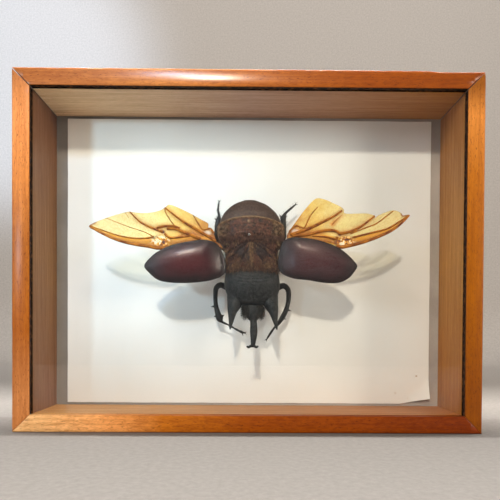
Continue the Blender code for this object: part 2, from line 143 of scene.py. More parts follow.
def smooth_path(points, steps):
    """Points of a Catmull-Rom curve through the given ones, with steps between each two."""
    path = []
    count = len(points)
    for i in range(count - 1):
        before = points[max(i - 1, 0)]
        start = points[i]
        end = points[i + 1]
        after = points[min(i + 2, count - 1)]
        for step in range(steps):
            t = step / steps
            path.append(
                tuple(
                    0.5 * (2 * b + (c - a) * t + (2 * a - 5 * b + 4 * c - d) * t**2
                           + (3 * b - a - 3 * c + d) * t**3)
                    for a, b, c, d in zip(before, start, end, after)
                )
            )
    path.append(tuple(points[-1]))
    return path


def smooth_ring(points, steps):
    """The same for a closed outline."""
    count = len(points)
    padded = [points[-1], *points, points[0], points[1]]
    path = smooth_path(padded, steps)
    return path[steps:steps * (count + 1)]


def distance_to_path(x, z, path):
    """Distance from a point to a polyline in the XZ plane, and the share of the way along it."""
    best = (1e9, 0.0)
    for i, ((ax, az), (bx, bz)) in enumerate(zip(path, path[1:])):
        dx = bx - ax
        dz = bz - az
        t = clamp(((x - ax) * dx + (z - az) * dz) / (dx * dx + dz * dz + 1e-12))
        away = math.hypot(x - ax - t * dx, z - az - t * dz)
        if away < best[0]:
            best = (away, (i + t) / (len(path) - 1))
    return best


def hump(value, width):
    """1 at nought, and less the further the value is from it."""
    return math.exp(-(value / width) ** 2)


def ripple(x, y, z, size):
    """Smooth noise from -1 to 1 with features of about this size."""
    return noise.noise(Vector((x, y, z)) / size)


# Working by hand in Blender

def deselect():
    bpy.ops.object.select_all(action="DESELECT")


def pick(obj):
    deselect()
    obj.select_set(True)
    bpy.context.view_layer.objects.active = obj
    return obj


def new_piece(name):
    """Names the primitive that was just added."""
    obj = bpy.context.active_object
    obj.name = name
    obj.data.name = name
    return pick(obj)


def apply_place(obj):
    pick(obj)
    bpy.ops.object.transform_apply(location=True, rotation=True, scale=True)
    return obj


def edit(obj, kind="FACE"):
    pick(obj)
    bpy.ops.object.mode_set(mode="EDIT")
    bpy.ops.mesh.select_mode(type=kind)
    bpy.ops.mesh.select_all(action="DESELECT")


def leave_edit():
    bpy.ops.object.mode_set(mode="OBJECT")


def select_faces(obj, test):
    """In edit mode, selects the faces whose centre in millimetres and normal pass the test."""
    bpy.ops.mesh.select_all(action="DESELECT")
    bm = bmesh.from_edit_mesh(obj.data)
    for face in bm.faces:
        face.select_set(bool(test(face.calc_center_median() / MM, face.normal)))
    bmesh.update_edit_mesh(obj.data)


def select_edges(obj, test):
    """In edit mode, selects the edges whose two ends in millimetres pass the test."""
    bpy.ops.mesh.select_all(action="DESELECT")
    bm = bmesh.from_edit_mesh(obj.data)
    chosen = 0
    for edge in bm.edges:
        a, b = (vert.co / MM for vert in edge.verts)
        if test(a, b):
            edge.select_set(True)
            chosen += 1
    bmesh.update_edit_mesh(obj.data)
    return chosen


def extrude(move):
    bpy.ops.mesh.extrude_region_move(TRANSFORM_OT_translate={"value": Vector(move) * MM})


def cut(point, normal, clear=False):
    """Cuts all of the piece by a plane, and takes away what is beyond it where clear is true."""
    bpy.ops.mesh.select_all(action="SELECT")
    bpy.ops.mesh.bisect(
        plane_co=Vector(point) * MM, plane_no=normal, use_fill=clear, clear_outer=clear
    )


def add_modifier(obj, kind, **settings):
    """Adds a modifier and applies it."""
    pick(obj)
    modifier = obj.modifiers.new(kind.lower(), kind)
    for key, value in settings.items():
        setattr(modifier, key, value)
    bpy.ops.object.modifier_apply(modifier=modifier.name)
    return obj


def link(name, data):
    """A new object in the scene."""
    obj = bpy.data.objects.new(name, data)
    bpy.context.scene.collection.objects.link(obj)
    return obj


def new_mesh(name, verts, faces):
    mesh = bpy.data.meshes.new(name)
    mesh.from_pydata(verts, [], faces)
    return link(name, mesh)


def join(pieces, name):
    deselect()
    for piece in pieces:
        piece.select_set(True)
    bpy.context.view_layer.objects.active = pieces[0]
    if len(pieces) > 1:
        bpy.ops.object.join()
    return new_piece(name)


def fuse(pieces, name, voxel, smoothing=4):
    """One closed skin over overlapping pieces, smoothed."""
    obj = join(pieces, name)
    add_modifier(obj, "REMESH", mode="VOXEL", voxel_size=voxel * MM)
    if smoothing:
        add_modifier(obj, "SMOOTH", factor=0.5, iterations=smoothing)
    return obj


def move_points(obj, shift):
    """Moves every vertex by what shift says of its place, in millimetres across, deep and up."""
    for vert in obj.data.vertices:
        x, depth, z = millimetres(vert.co)
        vert.co += Vector(shift(x, depth, z)) * MM
    obj.data.update()


def turn_outward(obj):
    edit(obj)
    bpy.ops.mesh.select_all(action="SELECT")
    bpy.ops.mesh.normals_make_consistent(inside=False)
    leave_edit()


def face_way(obj, way):
    """Turns the normals of an open surface that way."""
    turn_outward(obj)
    if obj.data.polygons[0].normal.dot(way) < 0:
        obj.data.flip_normals()


def merge_doubles(obj, distance):
    edit(obj, "VERT")
    bpy.ops.mesh.select_all(action="SELECT")
    bpy.ops.mesh.remove_doubles(threshold=distance * MM)
    leave_edit()


def smooth_shade(obj, angle=None):
    pick(obj)
    if angle is None:
        bpy.ops.object.shade_smooth()
    else:
        bpy.ops.object.shade_smooth_by_angle(angle=math.radians(angle))
    return obj


def store(obj, names, rows):
    """Keeps numbers on the mesh for its material: a row for each vertex, a name for each column."""
    for name, values in zip(names, zip(*rows)):
        layer = obj.data.attributes.new(name, "FLOAT", "POINT")
        layer.data.foreach_set("value", values)


def tube(name, points, resolution=4):
    """A tapering round bar through (x, depth, z, radius) points."""
    curve = bpy.data.curves.new(name, "CURVE")
    curve.dimensions = "3D"
    curve.bevel_depth = MM
    curve.bevel_resolution = resolution
    curve.use_fill_caps = True
    spline = curve.splines.new("POLY")
    spline.points.add(len(points) - 1)
    for point, (x, depth, z, radius) in zip(spline.points, points):
        point.co = (*place(x, depth, z), 1.0)
        point.radius = radius
    pick(link(name, curve))
    bpy.ops.object.convert(target="MESH")
    obj = new_piece(name)
    merge_doubles(obj, 0.0005)
    turn_outward(obj)
    return obj


def hand_over(obj, materials, slot, *nodes):
    """A finished piece gets its materials and its body, and the CAD nodes it stands for are hidden;
    the slot is not used.
    """
    for material in materials:
        obj.data.materials.append(material)
    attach(obj, "root")
    if nodes:
        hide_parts(*nodes)
    return obj


# Shader nodes

def feed(tree, node, values):
    """Links a node's inputs to sockets or sets them to constants."""
    for key, value in values.items():
        socket = node.inputs[key]
        if isinstance(value, bpy.types.NodeSocket):
            tree.links.new(value, socket)
        else:
            socket.default_value = (*value, 1.0) if socket.type == "RGBA" else value
    return node


def add(tree, kind, values=None, **settings):
    """A shader node with its settings and its inputs."""
    node = tree.nodes.new("ShaderNode" + kind)
    for key, value in settings.items():
        setattr(node, key, value)
    return feed(tree, node, values or {})


def mix_colour(tree, factor, first, second, blend="MIX"):
    values = {0: factor, 6: first, 7: second}
    return add(tree, "Mix", values, data_type="RGBA", blend_type=blend).outputs[2]


def maths(tree, operation, first, second=0.0, third=0.0):
    return add(tree, "Math", {0: first, 1: second, 2: third}, operation=operation).outputs[0]


def times(tree, first, second):
    return maths(tree, "MULTIPLY", first, second)


def map_range(tree, value, low, high, to_low=0.0, to_high=1.0):
    values = {"Value": value, "From Min": low, "From Max": high, "To Min": to_low,
              "To Max": to_high}
    return add(tree, "MapRange", values).outputs["Result"]


def noise_field(tree, vector, scale, detail=2.0, roughness=0.5, distortion=0.0):
    values = {"Vector": vector, "Scale": scale, "Detail": detail, "Roughness": roughness,
              "Distortion": distortion}
    return add(tree, "TexNoise", values).outputs["Fac"]


def stretched(tree, vector, share):
    """The vector with X shrunk, which draws a pattern out along X."""
    return add(tree, "Mapping", {"Vector": vector, "Scale": (share, 1.0, 1.0)}).outputs[0]


def in_millimetres(tree, rotation=(0.0, 0.0, 0.0)):
    """Object coordinates in millimetres, turned where a grain runs another way."""
    values = {"Vector": add(tree, "TexCoord").outputs["Object"], "Rotation": rotation,
              "Scale": (1 / MM, 1 / MM, 1 / MM)}
    return add(tree, "Mapping", values).outputs["Vector"]


def part(tree, vector, axis):
    return add(tree, "SeparateXYZ", {0: vector}).outputs[axis]


def attribute(tree, name):
    return add(tree, "Attribute", attribute_name=name).outputs["Fac"]


def painted(tree, colour, layers):
    """The colour with others over it, each where its attribute is high."""
    for name, over in layers.items():
        colour = mix_colour(tree, attribute(tree, name), colour, over)
    return colour


def clouded(tree, value, vector, scale, amount):
    """The value with soft clouds added."""
    cloud = maths(tree, "SUBTRACT", noise_field(tree, vector, scale, 3.0, 0.55), 0.5)
    return maths(tree, "ADD", value, times(tree, cloud, amount))


def colour_ramp(tree, value, stops):
    """A colour for a value from 0 to 1, by (position, colour) stops."""
    node = add(tree, "ValToRGB", {0: value})
    elements = node.color_ramp.elements
    while len(elements) < len(stops):
        elements.new(0.5)
    for element, (position, colour) in zip(elements, stops):
        element.position = position
        element.color = (*colour, 1.0)
    return node.outputs["Color"]


def bump(tree, height, distance, strength=1.0):
    """A normal from a height from 0 to 1 that stands for this many millimetres."""
    values = {"Height": height, "Distance": distance * MM, "Strength": strength}
    return add(tree, "Bump", values).outputs["Normal"]


def new_material(name):
    material = bpy.data.materials.new(name)
    material.use_nodes = True
    tree = material.node_tree
    return material, tree, tree.nodes["Principled BSDF"]


def new_group(name, inputs, outputs):
    """An empty group. An input's default is a colour or a number, or None for a vector."""
    group = bpy.data.node_groups.new(name, "ShaderNodeTree")
    for label, value in inputs.items():
        kind = {type(None): "Vector", tuple: "Color", float: "Float"}[type(value)]
        socket = group.interface.new_socket(label, in_out="INPUT", socket_type="NodeSocket" + kind)
        if value is not None:
            socket.default_value = (*value, 1.0) if kind == "Color" else value
    for label in outputs:
        kind = "NodeSocketColor" if label == "Colour" else "NodeSocketFloat"
        group.interface.new_socket(label, in_out="OUTPUT", socket_type=kind)
    enter = group.nodes.new("NodeGroupInput").outputs
    return group, enter, group.nodes.new("NodeGroupOutput")


def use_group(tree, group, values):
    return add(tree, "Group", values, node_tree=group).outputs


def wood_grain_group():
    """Long grain along the vector's X, with darker streaks, flecks and short open pores."""
    group, enter, leave = new_group("wood grain", {
        "Vector": None, "Light Wood": (0.5, 0.2, 0.05), "Dark Wood": (0.3, 0.1, 0.02),
        "Pore Colour": (0.1, 0.03, 0.01), "Pore Amount": 1.0, "Fleck Amount": 0.5,
    }, ("Colour", "Roughness", "Height"))
    streak, fine, fleck, pore = (
        noise_field(group, stretched(group, enter["Vector"], share), *settings)
        for share, settings in (
            (0.035, (0.55, 4.0, 0.62, 0.35)), (0.06, (2.6, 3.0, 0.6)),
            (0.3, (0.7, 3.0, 0.6, 0.6)), (0.16, (3.6, 1.0, 0.4)),
        )
    )
    tone = maths(group, "MULTIPLY_ADD", fine, 0.4, times(group, streak, 0.75))
    flecked = times(group, maths(group, "SUBTRACT", fleck, 0.5), enter["Fleck Amount"])
    tone = map_range(group, maths(group, "ADD", tone, flecked), 0.38, 0.76)
    colour = mix_colour(group, tone, enter["Dark Wood"], enter["Light Wood"])
    pores = times(group, map_range(group, pore, 0.64, 0.74), enter["Pore Amount"])
    feed(group, leave, {
        "Colour": mix_colour(group, pores, colour, enter["Pore Colour"]),
        "Roughness": map_range(group, streak, 0.3, 0.7, 0.5, 0.34),
        "Height": maths(group, "SUBTRACT", times(group, fine, 0.4), pores),
    })
    return group


def cuticle_group():
    """Insect cuticle: soft mottling, pale flecks, a net of fine punctures and a slight waviness."""
    group, enter, leave = new_group("cuticle", {
        "Vector": None, "Dark": (0.02, 0.02, 0.02), "Light": (0.06, 0.05, 0.05),
        "Fleck Colour": (0.2, 0.1, 0.05), "Mottle Size": 0.5, "Puncture Size": 2.2,
        "Fleck Size": 1.0, "Fleck Amount": 0.0,
    }, ("Colour", "Roughness", "Height"))
    vector = enter["Vector"]
    mottle = noise_field(group, vector, enter["Mottle Size"], 4.0, 0.6, 0.3)
    cells = add(group, "TexVoronoi", {"Vector": vector, "Scale": enter["Puncture Size"]})
    colour = mix_colour(group, map_range(group, mottle, 0.38, 0.62), enter["Dark"], enter["Light"])
    fleck = noise_field(group, vector, enter["Fleck Size"], 3.0, 0.62, 0.8)
    flecked = times(group, map_range(group, fleck, 0.53, 0.66), enter["Fleck Amount"])
    punctures = map_range(group, cells.outputs["Distance"], 0.0, 0.35)
    feed(group, leave, {
        "Colour": mix_colour(group, flecked, colour, enter["Fleck Colour"]),
        "Roughness": map_range(group, mottle, 0.3, 0.7, 0.42, 0.6),
        "Height": maths(group, "MULTIPLY_ADD", punctures, 0.5, mottle),
    })
    return group


def fibre_group():
    """Paper and board: a fine tangle of fibres and faint large clouds."""
    group, enter, leave = new_group("paper fibres", {
        "Vector": None, "Pale": (0.8, 0.8, 0.8), "Deep": (0.7, 0.7, 0.7), "Cloud Size": 0.03,
        "Fibre Size": 2.0,
    }, ("Colour", "Height"))
    cloud = noise_field(group, enter["Vector"], enter["Cloud Size"], 3.0, 0.55)
    fibre = noise_field(group, enter["Vector"], enter["Fibre Size"], 3.0, 0.7, 0.8)
    tone = maths(group, "MULTIPLY_ADD", fibre, 0.35, times(group, cloud, 0.65))
    colour = mix_colour(group, map_range(group, tone, 0.36, 0.62), enter["Deep"], enter["Pale"])
    feed(group, leave, {"Colour": colour, "Height": fibre})
    return group


WOOD_GRAIN = wood_grain_group()
CUTICLE = cuticle_group()
FIBRES = fibre_group()
ALONG_X = (0.0, 0.0, 0.0)
ALONG_Z = (0.0, math.radians(90), 0.0)


# Materials

def wood_material(name, grain, tones, pores=1.0, flecks=0.5, varnish=0.25):
    """Wood whose tone changes from its left or upper end over its middle to its other end; the
    tones carry painted sheen and painted shade.
    """
    material, tree, shader = new_material(name)
    vector = in_millimetres(tree, grain)
    span = (-130.0, 130.0) if grain == ALONG_X else (200.0, 0.0)
    light = colour_ramp(tree, map_range(tree, part(tree, vector, "X"), *span), tones)
    outputs = use_group(tree, WOOD_GRAIN, {
        "Vector": vector, "Light Wood": light,
        "Dark Wood": mix_colour(tree, 1.0, light, (0.66, 0.56, 0.46), "MULTIPLY"),
        "Pore Colour": mix_colour(tree, 1.0, light, (0.34, 0.24, 0.20), "MULTIPLY"),
        "Pore Amount": pores, "Fleck Amount": flecks,
    })
    feed(tree, shader, {
        "Base Color": outputs["Colour"], "Roughness": outputs["Roughness"],
        "Normal": bump(tree, outputs["Height"], 0.12, 0.6), "Specular IOR Level": 0.12,
        "Coat Weight": varnish, "Coat Roughness": 0.18,
    })
    return material


def lip_material():
    """The edge of the groove, painted nearly black as painted shade."""
    stain = (0.4, 3.0, 0.5, 0.75)
    dark = (0.022, 0.010, 0.005)
    brown = (0.16, 0.060, 0.022)
    return mottled_material("dark_lip", dark, brown, stain, 0.7, 0.15)


def mottled_material(name, first, second, pattern, roughness, shine=0.5):
    """Two colours mixed by noise; pattern is its scale, detail and where each colour is full."""
    material, tree, shader = new_material(name)
    scale, detail, low, high = pattern
    tone = map_range(tree, noise_field(tree, in_millimetres(tree), scale, detail), low, high)
    feed(tree, shader, {"Base Color": mix_colour(tree, tone, first, second),
                        "Roughness": roughness, "Specular IOR Level": shine})
    return material


def glass_material():
    """Clear glass that lets the lamp through to what is behind it."""
    material, tree, shader = new_material("clear_glass")
    feed(tree, shader, {"Base Color": (0.97, 0.985, 0.98), "Roughness": 0.0, "IOR": 1.45,
                        "Transmission Weight": 1.0})
    surface = shader.outputs[0]
    clear = add(tree, "BsdfTransparent", {"Color": (0.97, 0.98, 0.975)}).outputs[0]
    for ray in ("Is Shadow Ray", "Is Diffuse Ray"):
        is_ray = add(tree, "LightPath").outputs[ray]
        surface = add(tree, "MixShader", {0: is_ray, 1: surface, 2: clear}).outputs[0]
    feed(tree, tree.nodes["Material Output"], {"Surface": surface})
    return material


def fibre_material(name, pale, deep, sizes, relief, strength, roughness, tint):
    """Paper or board; tint changes its colour by the place in millimetres."""
    material, tree, shader = new_material(name)
    vector = in_millimetres(tree)
    outputs = use_group(tree, FIBRES, {"Vector": vector, "Pale": pale, "Deep": deep,
                                       "Cloud Size": sizes[0], "Fibre Size": sizes[1]})
    feed(tree, shader, {
        "Base Color": tint(tree, vector, outputs["Colour"]), "Roughness": roughness,
        "Normal": bump(tree, outputs["Height"], relief, strength),
    })
    return material


def board_material():
    """Grey board, with painted shade that darkens it towards its left."""
    def painted_shade_at_left(tree, vector, colour):
        # Painted shade: the board is darkened towards its left.
        left = map_range(tree, part(tree, vector, "X"), 60.0, -100.0)
        return mix_colour(tree, left, colour, (0.52, 0.51, 0.50), "MULTIPLY")

    return fibre_material("grey_board", (0.48, 0.43, 0.385), (0.37, 0.325, 0.29), (0.05, 1.6),
                          0.06, 0.7, 0.9, painted_shade_at_left)


SPECKS = [
    # x, z, size, strength
    (106.5, 28.7, 0.75, 0.85),
    (93.3, 17.9, 0.9, 0.3),
    (101.2, 14.6, 0.8, 0.2),
]


def sheet_material():
    """White paper, warmer at its lower right, with painted shade darkening its lower left, and a
    few small stains.
    """
    def stains_and_painted_shade(tree, vector, colour):
        x = part(tree, vector, "X")
        z = part(tree, vector, "Z")
        fall = maths(tree, "MULTIPLY_ADD", x, 0.5, times(tree, z, -0.7))
        warm = map_range(tree, fall, -40.0, 60.0)
        colour = mix_colour(tree, warm, colour, (0.99, 0.972, 0.935), "MULTIPLY")
        # Painted shade: the lower left is darkened.
        low = times(tree, map_range(tree, z, 75.0, 20.0), map_range(tree, x, 95.0, -60.0))
        colour = mix_colour(tree, low, colour, (0.79, 0.78, 0.76), "MULTIPLY")
        flat = add(tree, "CombineXYZ", {"X": x, "Z": z}).outputs[0]
        for speck_x, speck_z, size, strength in SPECKS:
            ends = {0: flat, 1: (speck_x, 0.0, speck_z)}
            away = add(tree, "VectorMath", ends, operation="DISTANCE").outputs["Value"]
            mask = map_range(tree, away, size, size * 0.35, 0.0, strength)
            colour = mix_colour(tree, mask, colour, (0.42, 0.25, 0.10))
        return colour

    return fibre_material("white_sheet", (0.95, 0.95, 0.935), (0.91, 0.905, 0.88), (0.022, 1.1),
                          0.05, 0.6, 0.85, stains_and_painted_shade)


def pin_material():
    material, tree, shader = new_material("bright_pin")
    stain = noise_field(tree, in_millimetres(tree), 3.0, 3.0)
    tone = map_range(tree, stain, 0.4, 0.7)
    feed(tree, shader, {
        "Base Color": mix_colour(tree, tone, (0.75, 0.74, 0.72), (0.5, 0.45, 0.4)),
        "Roughness": map_range(tree, stain, 0.3, 0.7, 0.14, 0.32), "Metallic": 1.0,
    })
    return material


def cuticle_material(name, values, relief, shine, layers):
    """Cuticle; values are the group's inputs, and layers says what is painted over its colour."""
    material, tree, shader = new_material(name)
    vector = in_millimetres(tree)
    outputs = use_group(tree, CUTICLE, {"Vector": vector, **values})
    feed(tree, shader, {
        "Base Color": painted(tree, outputs["Colour"], layers(tree, vector)),
        "Roughness": outputs["Roughness"], "Normal": bump(tree, outputs["Height"], relief),
        "Specular IOR Level": shine,
    })
    return material


def black_material(name, dark, light, mottle, punctures, relief, shine):
    values = {"Dark": dark, "Light": light, "Mottle Size": mottle, "Puncture Size": punctures}
    return cuticle_material(name, values, relief, shine, lambda tree, vector: {})


BROWN_CUTICLE = {
    "Dark": (0.006, 0.002, 0.001), "Light": (0.095, 0.031, 0.018),
    "Fleck Colour": (0.34, 0.18, 0.085),
}


def abdomen_material():
    """Smooth grey-brown end, redder rings below it, dark pits, a pale rim at the sides and a
    painted highlight streak beside the middle.
    """
    def layers(tree, vector):
        speck = map_range(tree, noise_field(tree, vector, 0.9, 4.0, 0.7), 0.35, 0.7)
        grey = mix_colour(tree, speck, (0.025, 0.013, 0.009), (0.092, 0.054, 0.038))
        return {"dome": grey, "pits": (0.008, 0.004, 0.003), "rim": (0.36, 0.235, 0.135)}

    values = {"Mottle Size": 0.55, "Puncture Size": 1.3, "Fleck Size": 1.1, "Fleck Amount": 0.35}
    return cuticle_material("abdomen_cuticle", {**BROWN_CUTICLE, **values}, 0.25, 0.18, layers)


def thorax_material():
    """Rough brown cuticle with dark bulges, golden patches where the hair is dense, and furrows
    painted near black as painted shade.
    """
    values = {"Mottle Size": 0.42, "Puncture Size": 0.9, "Fleck Size": 0.6, "Fleck Amount": 0.4}
    # The furrow colour is painted shade in the folds.
    layers = {"bulge": (0.010, 0.004, 0.003), "gold": (0.22, 0.115, 0.050),
              "furrow": (0.003, 0.001, 0.001)}
    return cuticle_material("thorax_cuticle", {**BROWN_CUTICLE, **values}, 0.35, 0.15,
                            lambda tree, vector: layers)


def elytron_material():
    """Wine red in the middle, nearly black along the rim, with a streaky grey painted sheen at the
    right.
    """
    material, tree, shader = new_material("wing_case_gloss")
    vector = in_millimetres(tree)
    rim = attribute(tree, "rim")
    wine = colour_ramp(tree, clouded(tree, rim, vector, 0.16, 0.5), [
        (0.25, (0.060, 0.009, 0.010)), (0.55, (0.038, 0.008, 0.009)), (0.80, (0.013, 0.004, 0.005)),
        (0.95, (0.004, 0.002, 0.002)),
    ])
    # Painted sheen: streaky grey over the right wing case, fading towards the rim.
    streak = noise_field(tree, stretched(tree, vector, 0.12), 0.9, 4.0, 0.65)
    painted_sheen_side = map_range(tree, part(tree, vector, "X"), 5.0, 25.0, 0.04, 0.6)
    painted_sheen = times(tree, map_range(tree, streak, 0.35, 0.65, 0.3, 1.0), painted_sheen_side)
    painted_sheen = times(tree, painted_sheen, map_range(tree, rim, 0.95, 0.45))
    fine = noise_field(tree, vector, 1.7, 4.0, 0.65)
    dull = times(tree, map_range(tree, rim, 0.55, 0.95), 0.3)
    feed(tree, shader, {
        "Base Color": mix_colour(tree, painted_sheen, wine, (0.080, 0.052, 0.057)),
        "Roughness": maths(tree, "ADD", map_range(tree, fine, 0.3, 0.7, 0.22, 0.34), dull),
        "Normal": bump(tree, fine, 0.06), "Specular IOR Level": 0.26,
        "Specular Tint": (1.0, 0.80, 0.76), "Coat Weight": 0.10, "Coat Roughness": 0.18,
    })
    return material


MEMBRANE_OPACITY = 0.42
VEIN_OPACITY = 0.97


def membrane_colour(tree, vector, band):
    """Pale at the tip, orange at the root, amber along the leading edge, brown and white knots."""
    skin = colour_ramp(tree, clouded(tree, attribute(tree, "reach"), vector, 0.18, 0.35), [
        (0.0, (0.34, 0.09, 0.002)), (0.16, (0.70, 0.31, 0.015)), (0.34, (0.95, 0.70, 0.17)),
        (0.6, (0.98, 0.86, 0.40)), (0.95, (0.93, 0.79, 0.40)),
    ])
    amber = mix_colour(tree, map_range(tree, band, 0.55, 0.95), (0.72, 0.31, 0.006),
                       (0.33, 0.075, 0.001))
    colour = mix_colour(tree, map_range(tree, band, 0.0, 0.35), skin, amber)
    folds = maths(tree, "SUBTRACT", noise_field(tree, vector, 0.42, 3.0, 0.6, 1.0), 0.5)
    folds = map_range(tree, maths(tree, "ABSOLUTE", folds), 0.0, 0.045, 0.45, 0.0)
    colour = mix_colour(tree, folds, colour, (0.62, 0.33, 0.05))
    knot = colour_ramp(tree, noise_field(tree, vector, 0.5, 2.0, 0.5, 0.6), [
        (0.40, (0.07, 0.015, 0.02)), (0.47, (0.50, 0.14, 0.004)), (0.54, (0.95, 0.48, 0.03)),
        (0.62, (1.0, 0.93, 0.70)),
    ])
    return painted(tree, colour, {
        "knot": knot, "pale": (0.93, 0.88, 0.80), "stem": (0.56, 0.195, 0.006),
        "joint": (0.10, 0.030, 0.035), "edge": (0.30, 0.10, 0.015),
    })


def membrane_material():
    """Translucent wing skin, denser in its band, knot, edge and stems, with a thin shadow."""
    material, tree, shader = new_material("amber_membrane")
    vector = in_millimetres(tree)
    band = attribute(tree, "band")
    colour = membrane_colour(tree, vector, band)
    wrinkle = noise_field(tree, vector, 0.9, 4.0, 0.7, 1.0)
    feed(tree, shader, {
        "Base Color": colour, "Roughness": map_range(tree, wrinkle, 0.3, 0.7, 0.24, 0.4),
        "Normal": bump(tree, wrinkle, 0.4), "Specular IOR Level": 0.35,
    })
    solid = map_range(tree, band, 0.0, 0.4)
    for name in ("knot", "edge", "stem"):
        solid = maths(tree, "MAXIMUM", solid, attribute(tree, name))
    solid = map_range(tree, solid, 0.0, 1.0, MEMBRANE_OPACITY, VEIN_OPACITY)
    tint = mix_colour(tree, 0.5, colour, (1.0, 0.97, 0.86))
    clear, thin = (add(tree, "BsdfTransparent", {"Color": through}).outputs[0]
                   for through in (tint, (0.965, 0.95, 0.85)))
    skin = add(tree, "MixShader", {0: solid, 1: clear, 2: shader.outputs[0]}).outputs[0]
    shadow = times(tree, add(tree, "LightPath").outputs["Is Shadow Ray"], 0.84)
    skin = add(tree, "MixShader", {0: shadow, 1: skin, 2: thin}).outputs[0]
    feed(tree, tree.nodes["Material Output"], {"Surface": skin})
    return material


def vein_material():
    return mottled_material("wing_veins", (0.17, 0.036, 0.001), (0.46, 0.150, 0.003),
                            (0.25, 2.0, 0.35, 0.65), 0.5, 0.2)


def hair_material(name, dark, light):
    return mottled_material(name, dark, light, (0.5, 2.0, 0.35, 0.65), 0.5)


def stage_material():
    """Pale grey with a fine grain, darker where the floor lies before the frame."""
    material, tree, shader = new_material("pale_stage")
    vector = in_millimetres(tree)
    tone = map_range(tree, noise_field(tree, vector, 0.35, 4.0, 0.7), 0.3, 0.7)
    colour = mix_colour(tree, tone, (0.43, 0.400, 0.375), (0.57, 0.530, 0.500))
    floor = mix_colour(tree, 1.0, colour, (0.33, 0.33, 0.33), "MULTIPLY")
    behind = map_range(tree, part(tree, vector, "Y"), -20.0, 90.0)
    feed(tree, shader, {"Base Color": mix_colour(tree, behind, floor, colour), "Roughness": 0.9})
    return material


# Box frame

def build_rail(name, length, turn, centre, gapes, materials):
    """One side of the frame, lying along X with the opening above it until it is turned about Y.
    gapes are the extra widths of its two mitres at their outer ends."""
    low = RAIL_WIDTH - REBATE
    bpy.ops.mesh.primitive_cube_add(size=1.0, location=(0.0, 0.0, low / 2 * MM))
    rail = new_piece(name)
    rail.scale = (length * MM, FRAME_DEPTH * MM, low * MM)
    apply_place(rail)
    edit(rail, "EDGE")
    select_edges(rail, lambda a, b: abs(a.x - b.x) > length / 2)
    bpy.ops.mesh.subdivide(number_cuts=RAIL_CUTS)
    rebate_front = FRONT + BOARD_SETBACK - GAP
    cut((0.0, rebate_front, 0.0), (0.0, 1.0, 0.0))
    bpy.ops.mesh.select_mode(type="FACE")
    select_faces(rail, lambda c, n: n.z > 0.9 and c.y < rebate_front)
    extrude((0.0, 0.0, REBATE))
    groove_front = FRONT + GLASS_SETBACK - GAP
    groove_back = FRONT + GLASS_SETBACK + GLASS_THICKNESS + GAP
    for y in (groove_front, groove_back):
        cut((0.0, y, 0.0), (0.0, 1.0, 0.0))
    select_faces(rail, lambda c, n: n.z > 0.9 and groove_front < c.y < groove_back)
    extrude((0.0, 0.0, -GROOVE_DEPTH))
    for side, gape in zip((-1, 1), gapes):
        outer = length / 2 - MITRE_GAP / math.sqrt(2) - gape
        cut((side * outer, 0.0, 0.0), (side * RAIL_WIDTH, 0.0, RAIL_WIDTH - gape), clear=True)
    round_rail_edges(rail)
    leave_edit()
    rail.rotation_euler = (0.0, turn, 0.0)
    rail.location = Vector(centre) * MM
    apply_place(rail)
    wear_rail(rail)
    for material in materials:
        rail.data.materials.append(material)
    glass_back = GLASS_SETBACK + GLASS_THICKNESS
    for face in rail.data.polygons:
        x, depth, z = millimetres(face.center)
        inward = face.normal.dot(Vector((-x, 0.0, FRAME_HEIGHT / 2 - z)))
        # Painted shade: the groove's edge gets the nearly black lip material, except on the lit
        # bottom rail.
        if LIP_START < depth < glass_back + LIP_OVERLAP and inward > -1.0 and name != "bottom_rail":
            face.material_index = LIP_INDEX
        elif depth > glass_back and inward > 0 and abs(face.normal.y) < 0.5:
            face.material_index = INSIDE_INDEX
    return hand_over(smooth_shade(rail, 35), [], "frame_wood", name)


def round_rail_edges(rail):
    """Rounds the outer front edge, the outer back edge, the inner front edge and the mitres' front
    edges."""
    def on_line(y, z):
        return lambda a, b: all(abs(v.y - y) < NEAR and abs(v.z - z) < NEAR for v in (a, b))

    def on_mitre(a, b):
        slanted = abs(a.z - b.z) > 1.0 and abs(a.x - b.x) > 1.0
        return slanted and abs(a.y - FRONT) < NEAR and abs(b.y - FRONT) < NEAR

    bpy.ops.mesh.select_mode(type="EDGE")
    tests = (on_line(FRONT, 0.0), on_line(-FRONT, 0.0), on_line(FRONT, RAIL_WIDTH), on_mitre)
    for test, (width, segments) in zip(tests, EDGE_ROUNDINGS):
        if select_edges(rail, test):
            bpy.ops.mesh.bevel(offset=width * MM, segments=segments, affect="EDGES")


def wear_rail(rail):
    """Small dents and rubbed places along the outer front edges, and the chipped top edge."""
    half = FRAME_WIDTH / 2
    for vert in rail.data.vertices:
        x, depth, z = millimetres(vert.co)
        near_edge = clamp(1.0 - depth / 2.0)
        inward = Vector((0.0, 0.0, 0.0))
        if half - abs(x) < WORN_EDGE:
            inward.x = -math.copysign(1.0, x)
        if z < WORN_EDGE:
            inward.z = 1.0
        if FRAME_HEIGHT - z < WORN_EDGE:
            inward.z = -1.0
        dent = max(0.0, ripple(x, depth * 3, z, 9.0)) * 0.22 * near_edge
        if z > FRAME_HEIGHT - 1.6 and x > CHIP_START - 1.0:
            chip = soft_step((x - CHIP_START + 0.6) / 0.8) * clamp(1.6 - depth / 6.0)
            dent += CHIP_DEPTH * chip * (0.85 + 0.3 * ripple(x, 0.0, 5.0, 4.0))
            inward.x *= 0.4
        vert.co += inward * (dent * MM)
    rail.data.update()
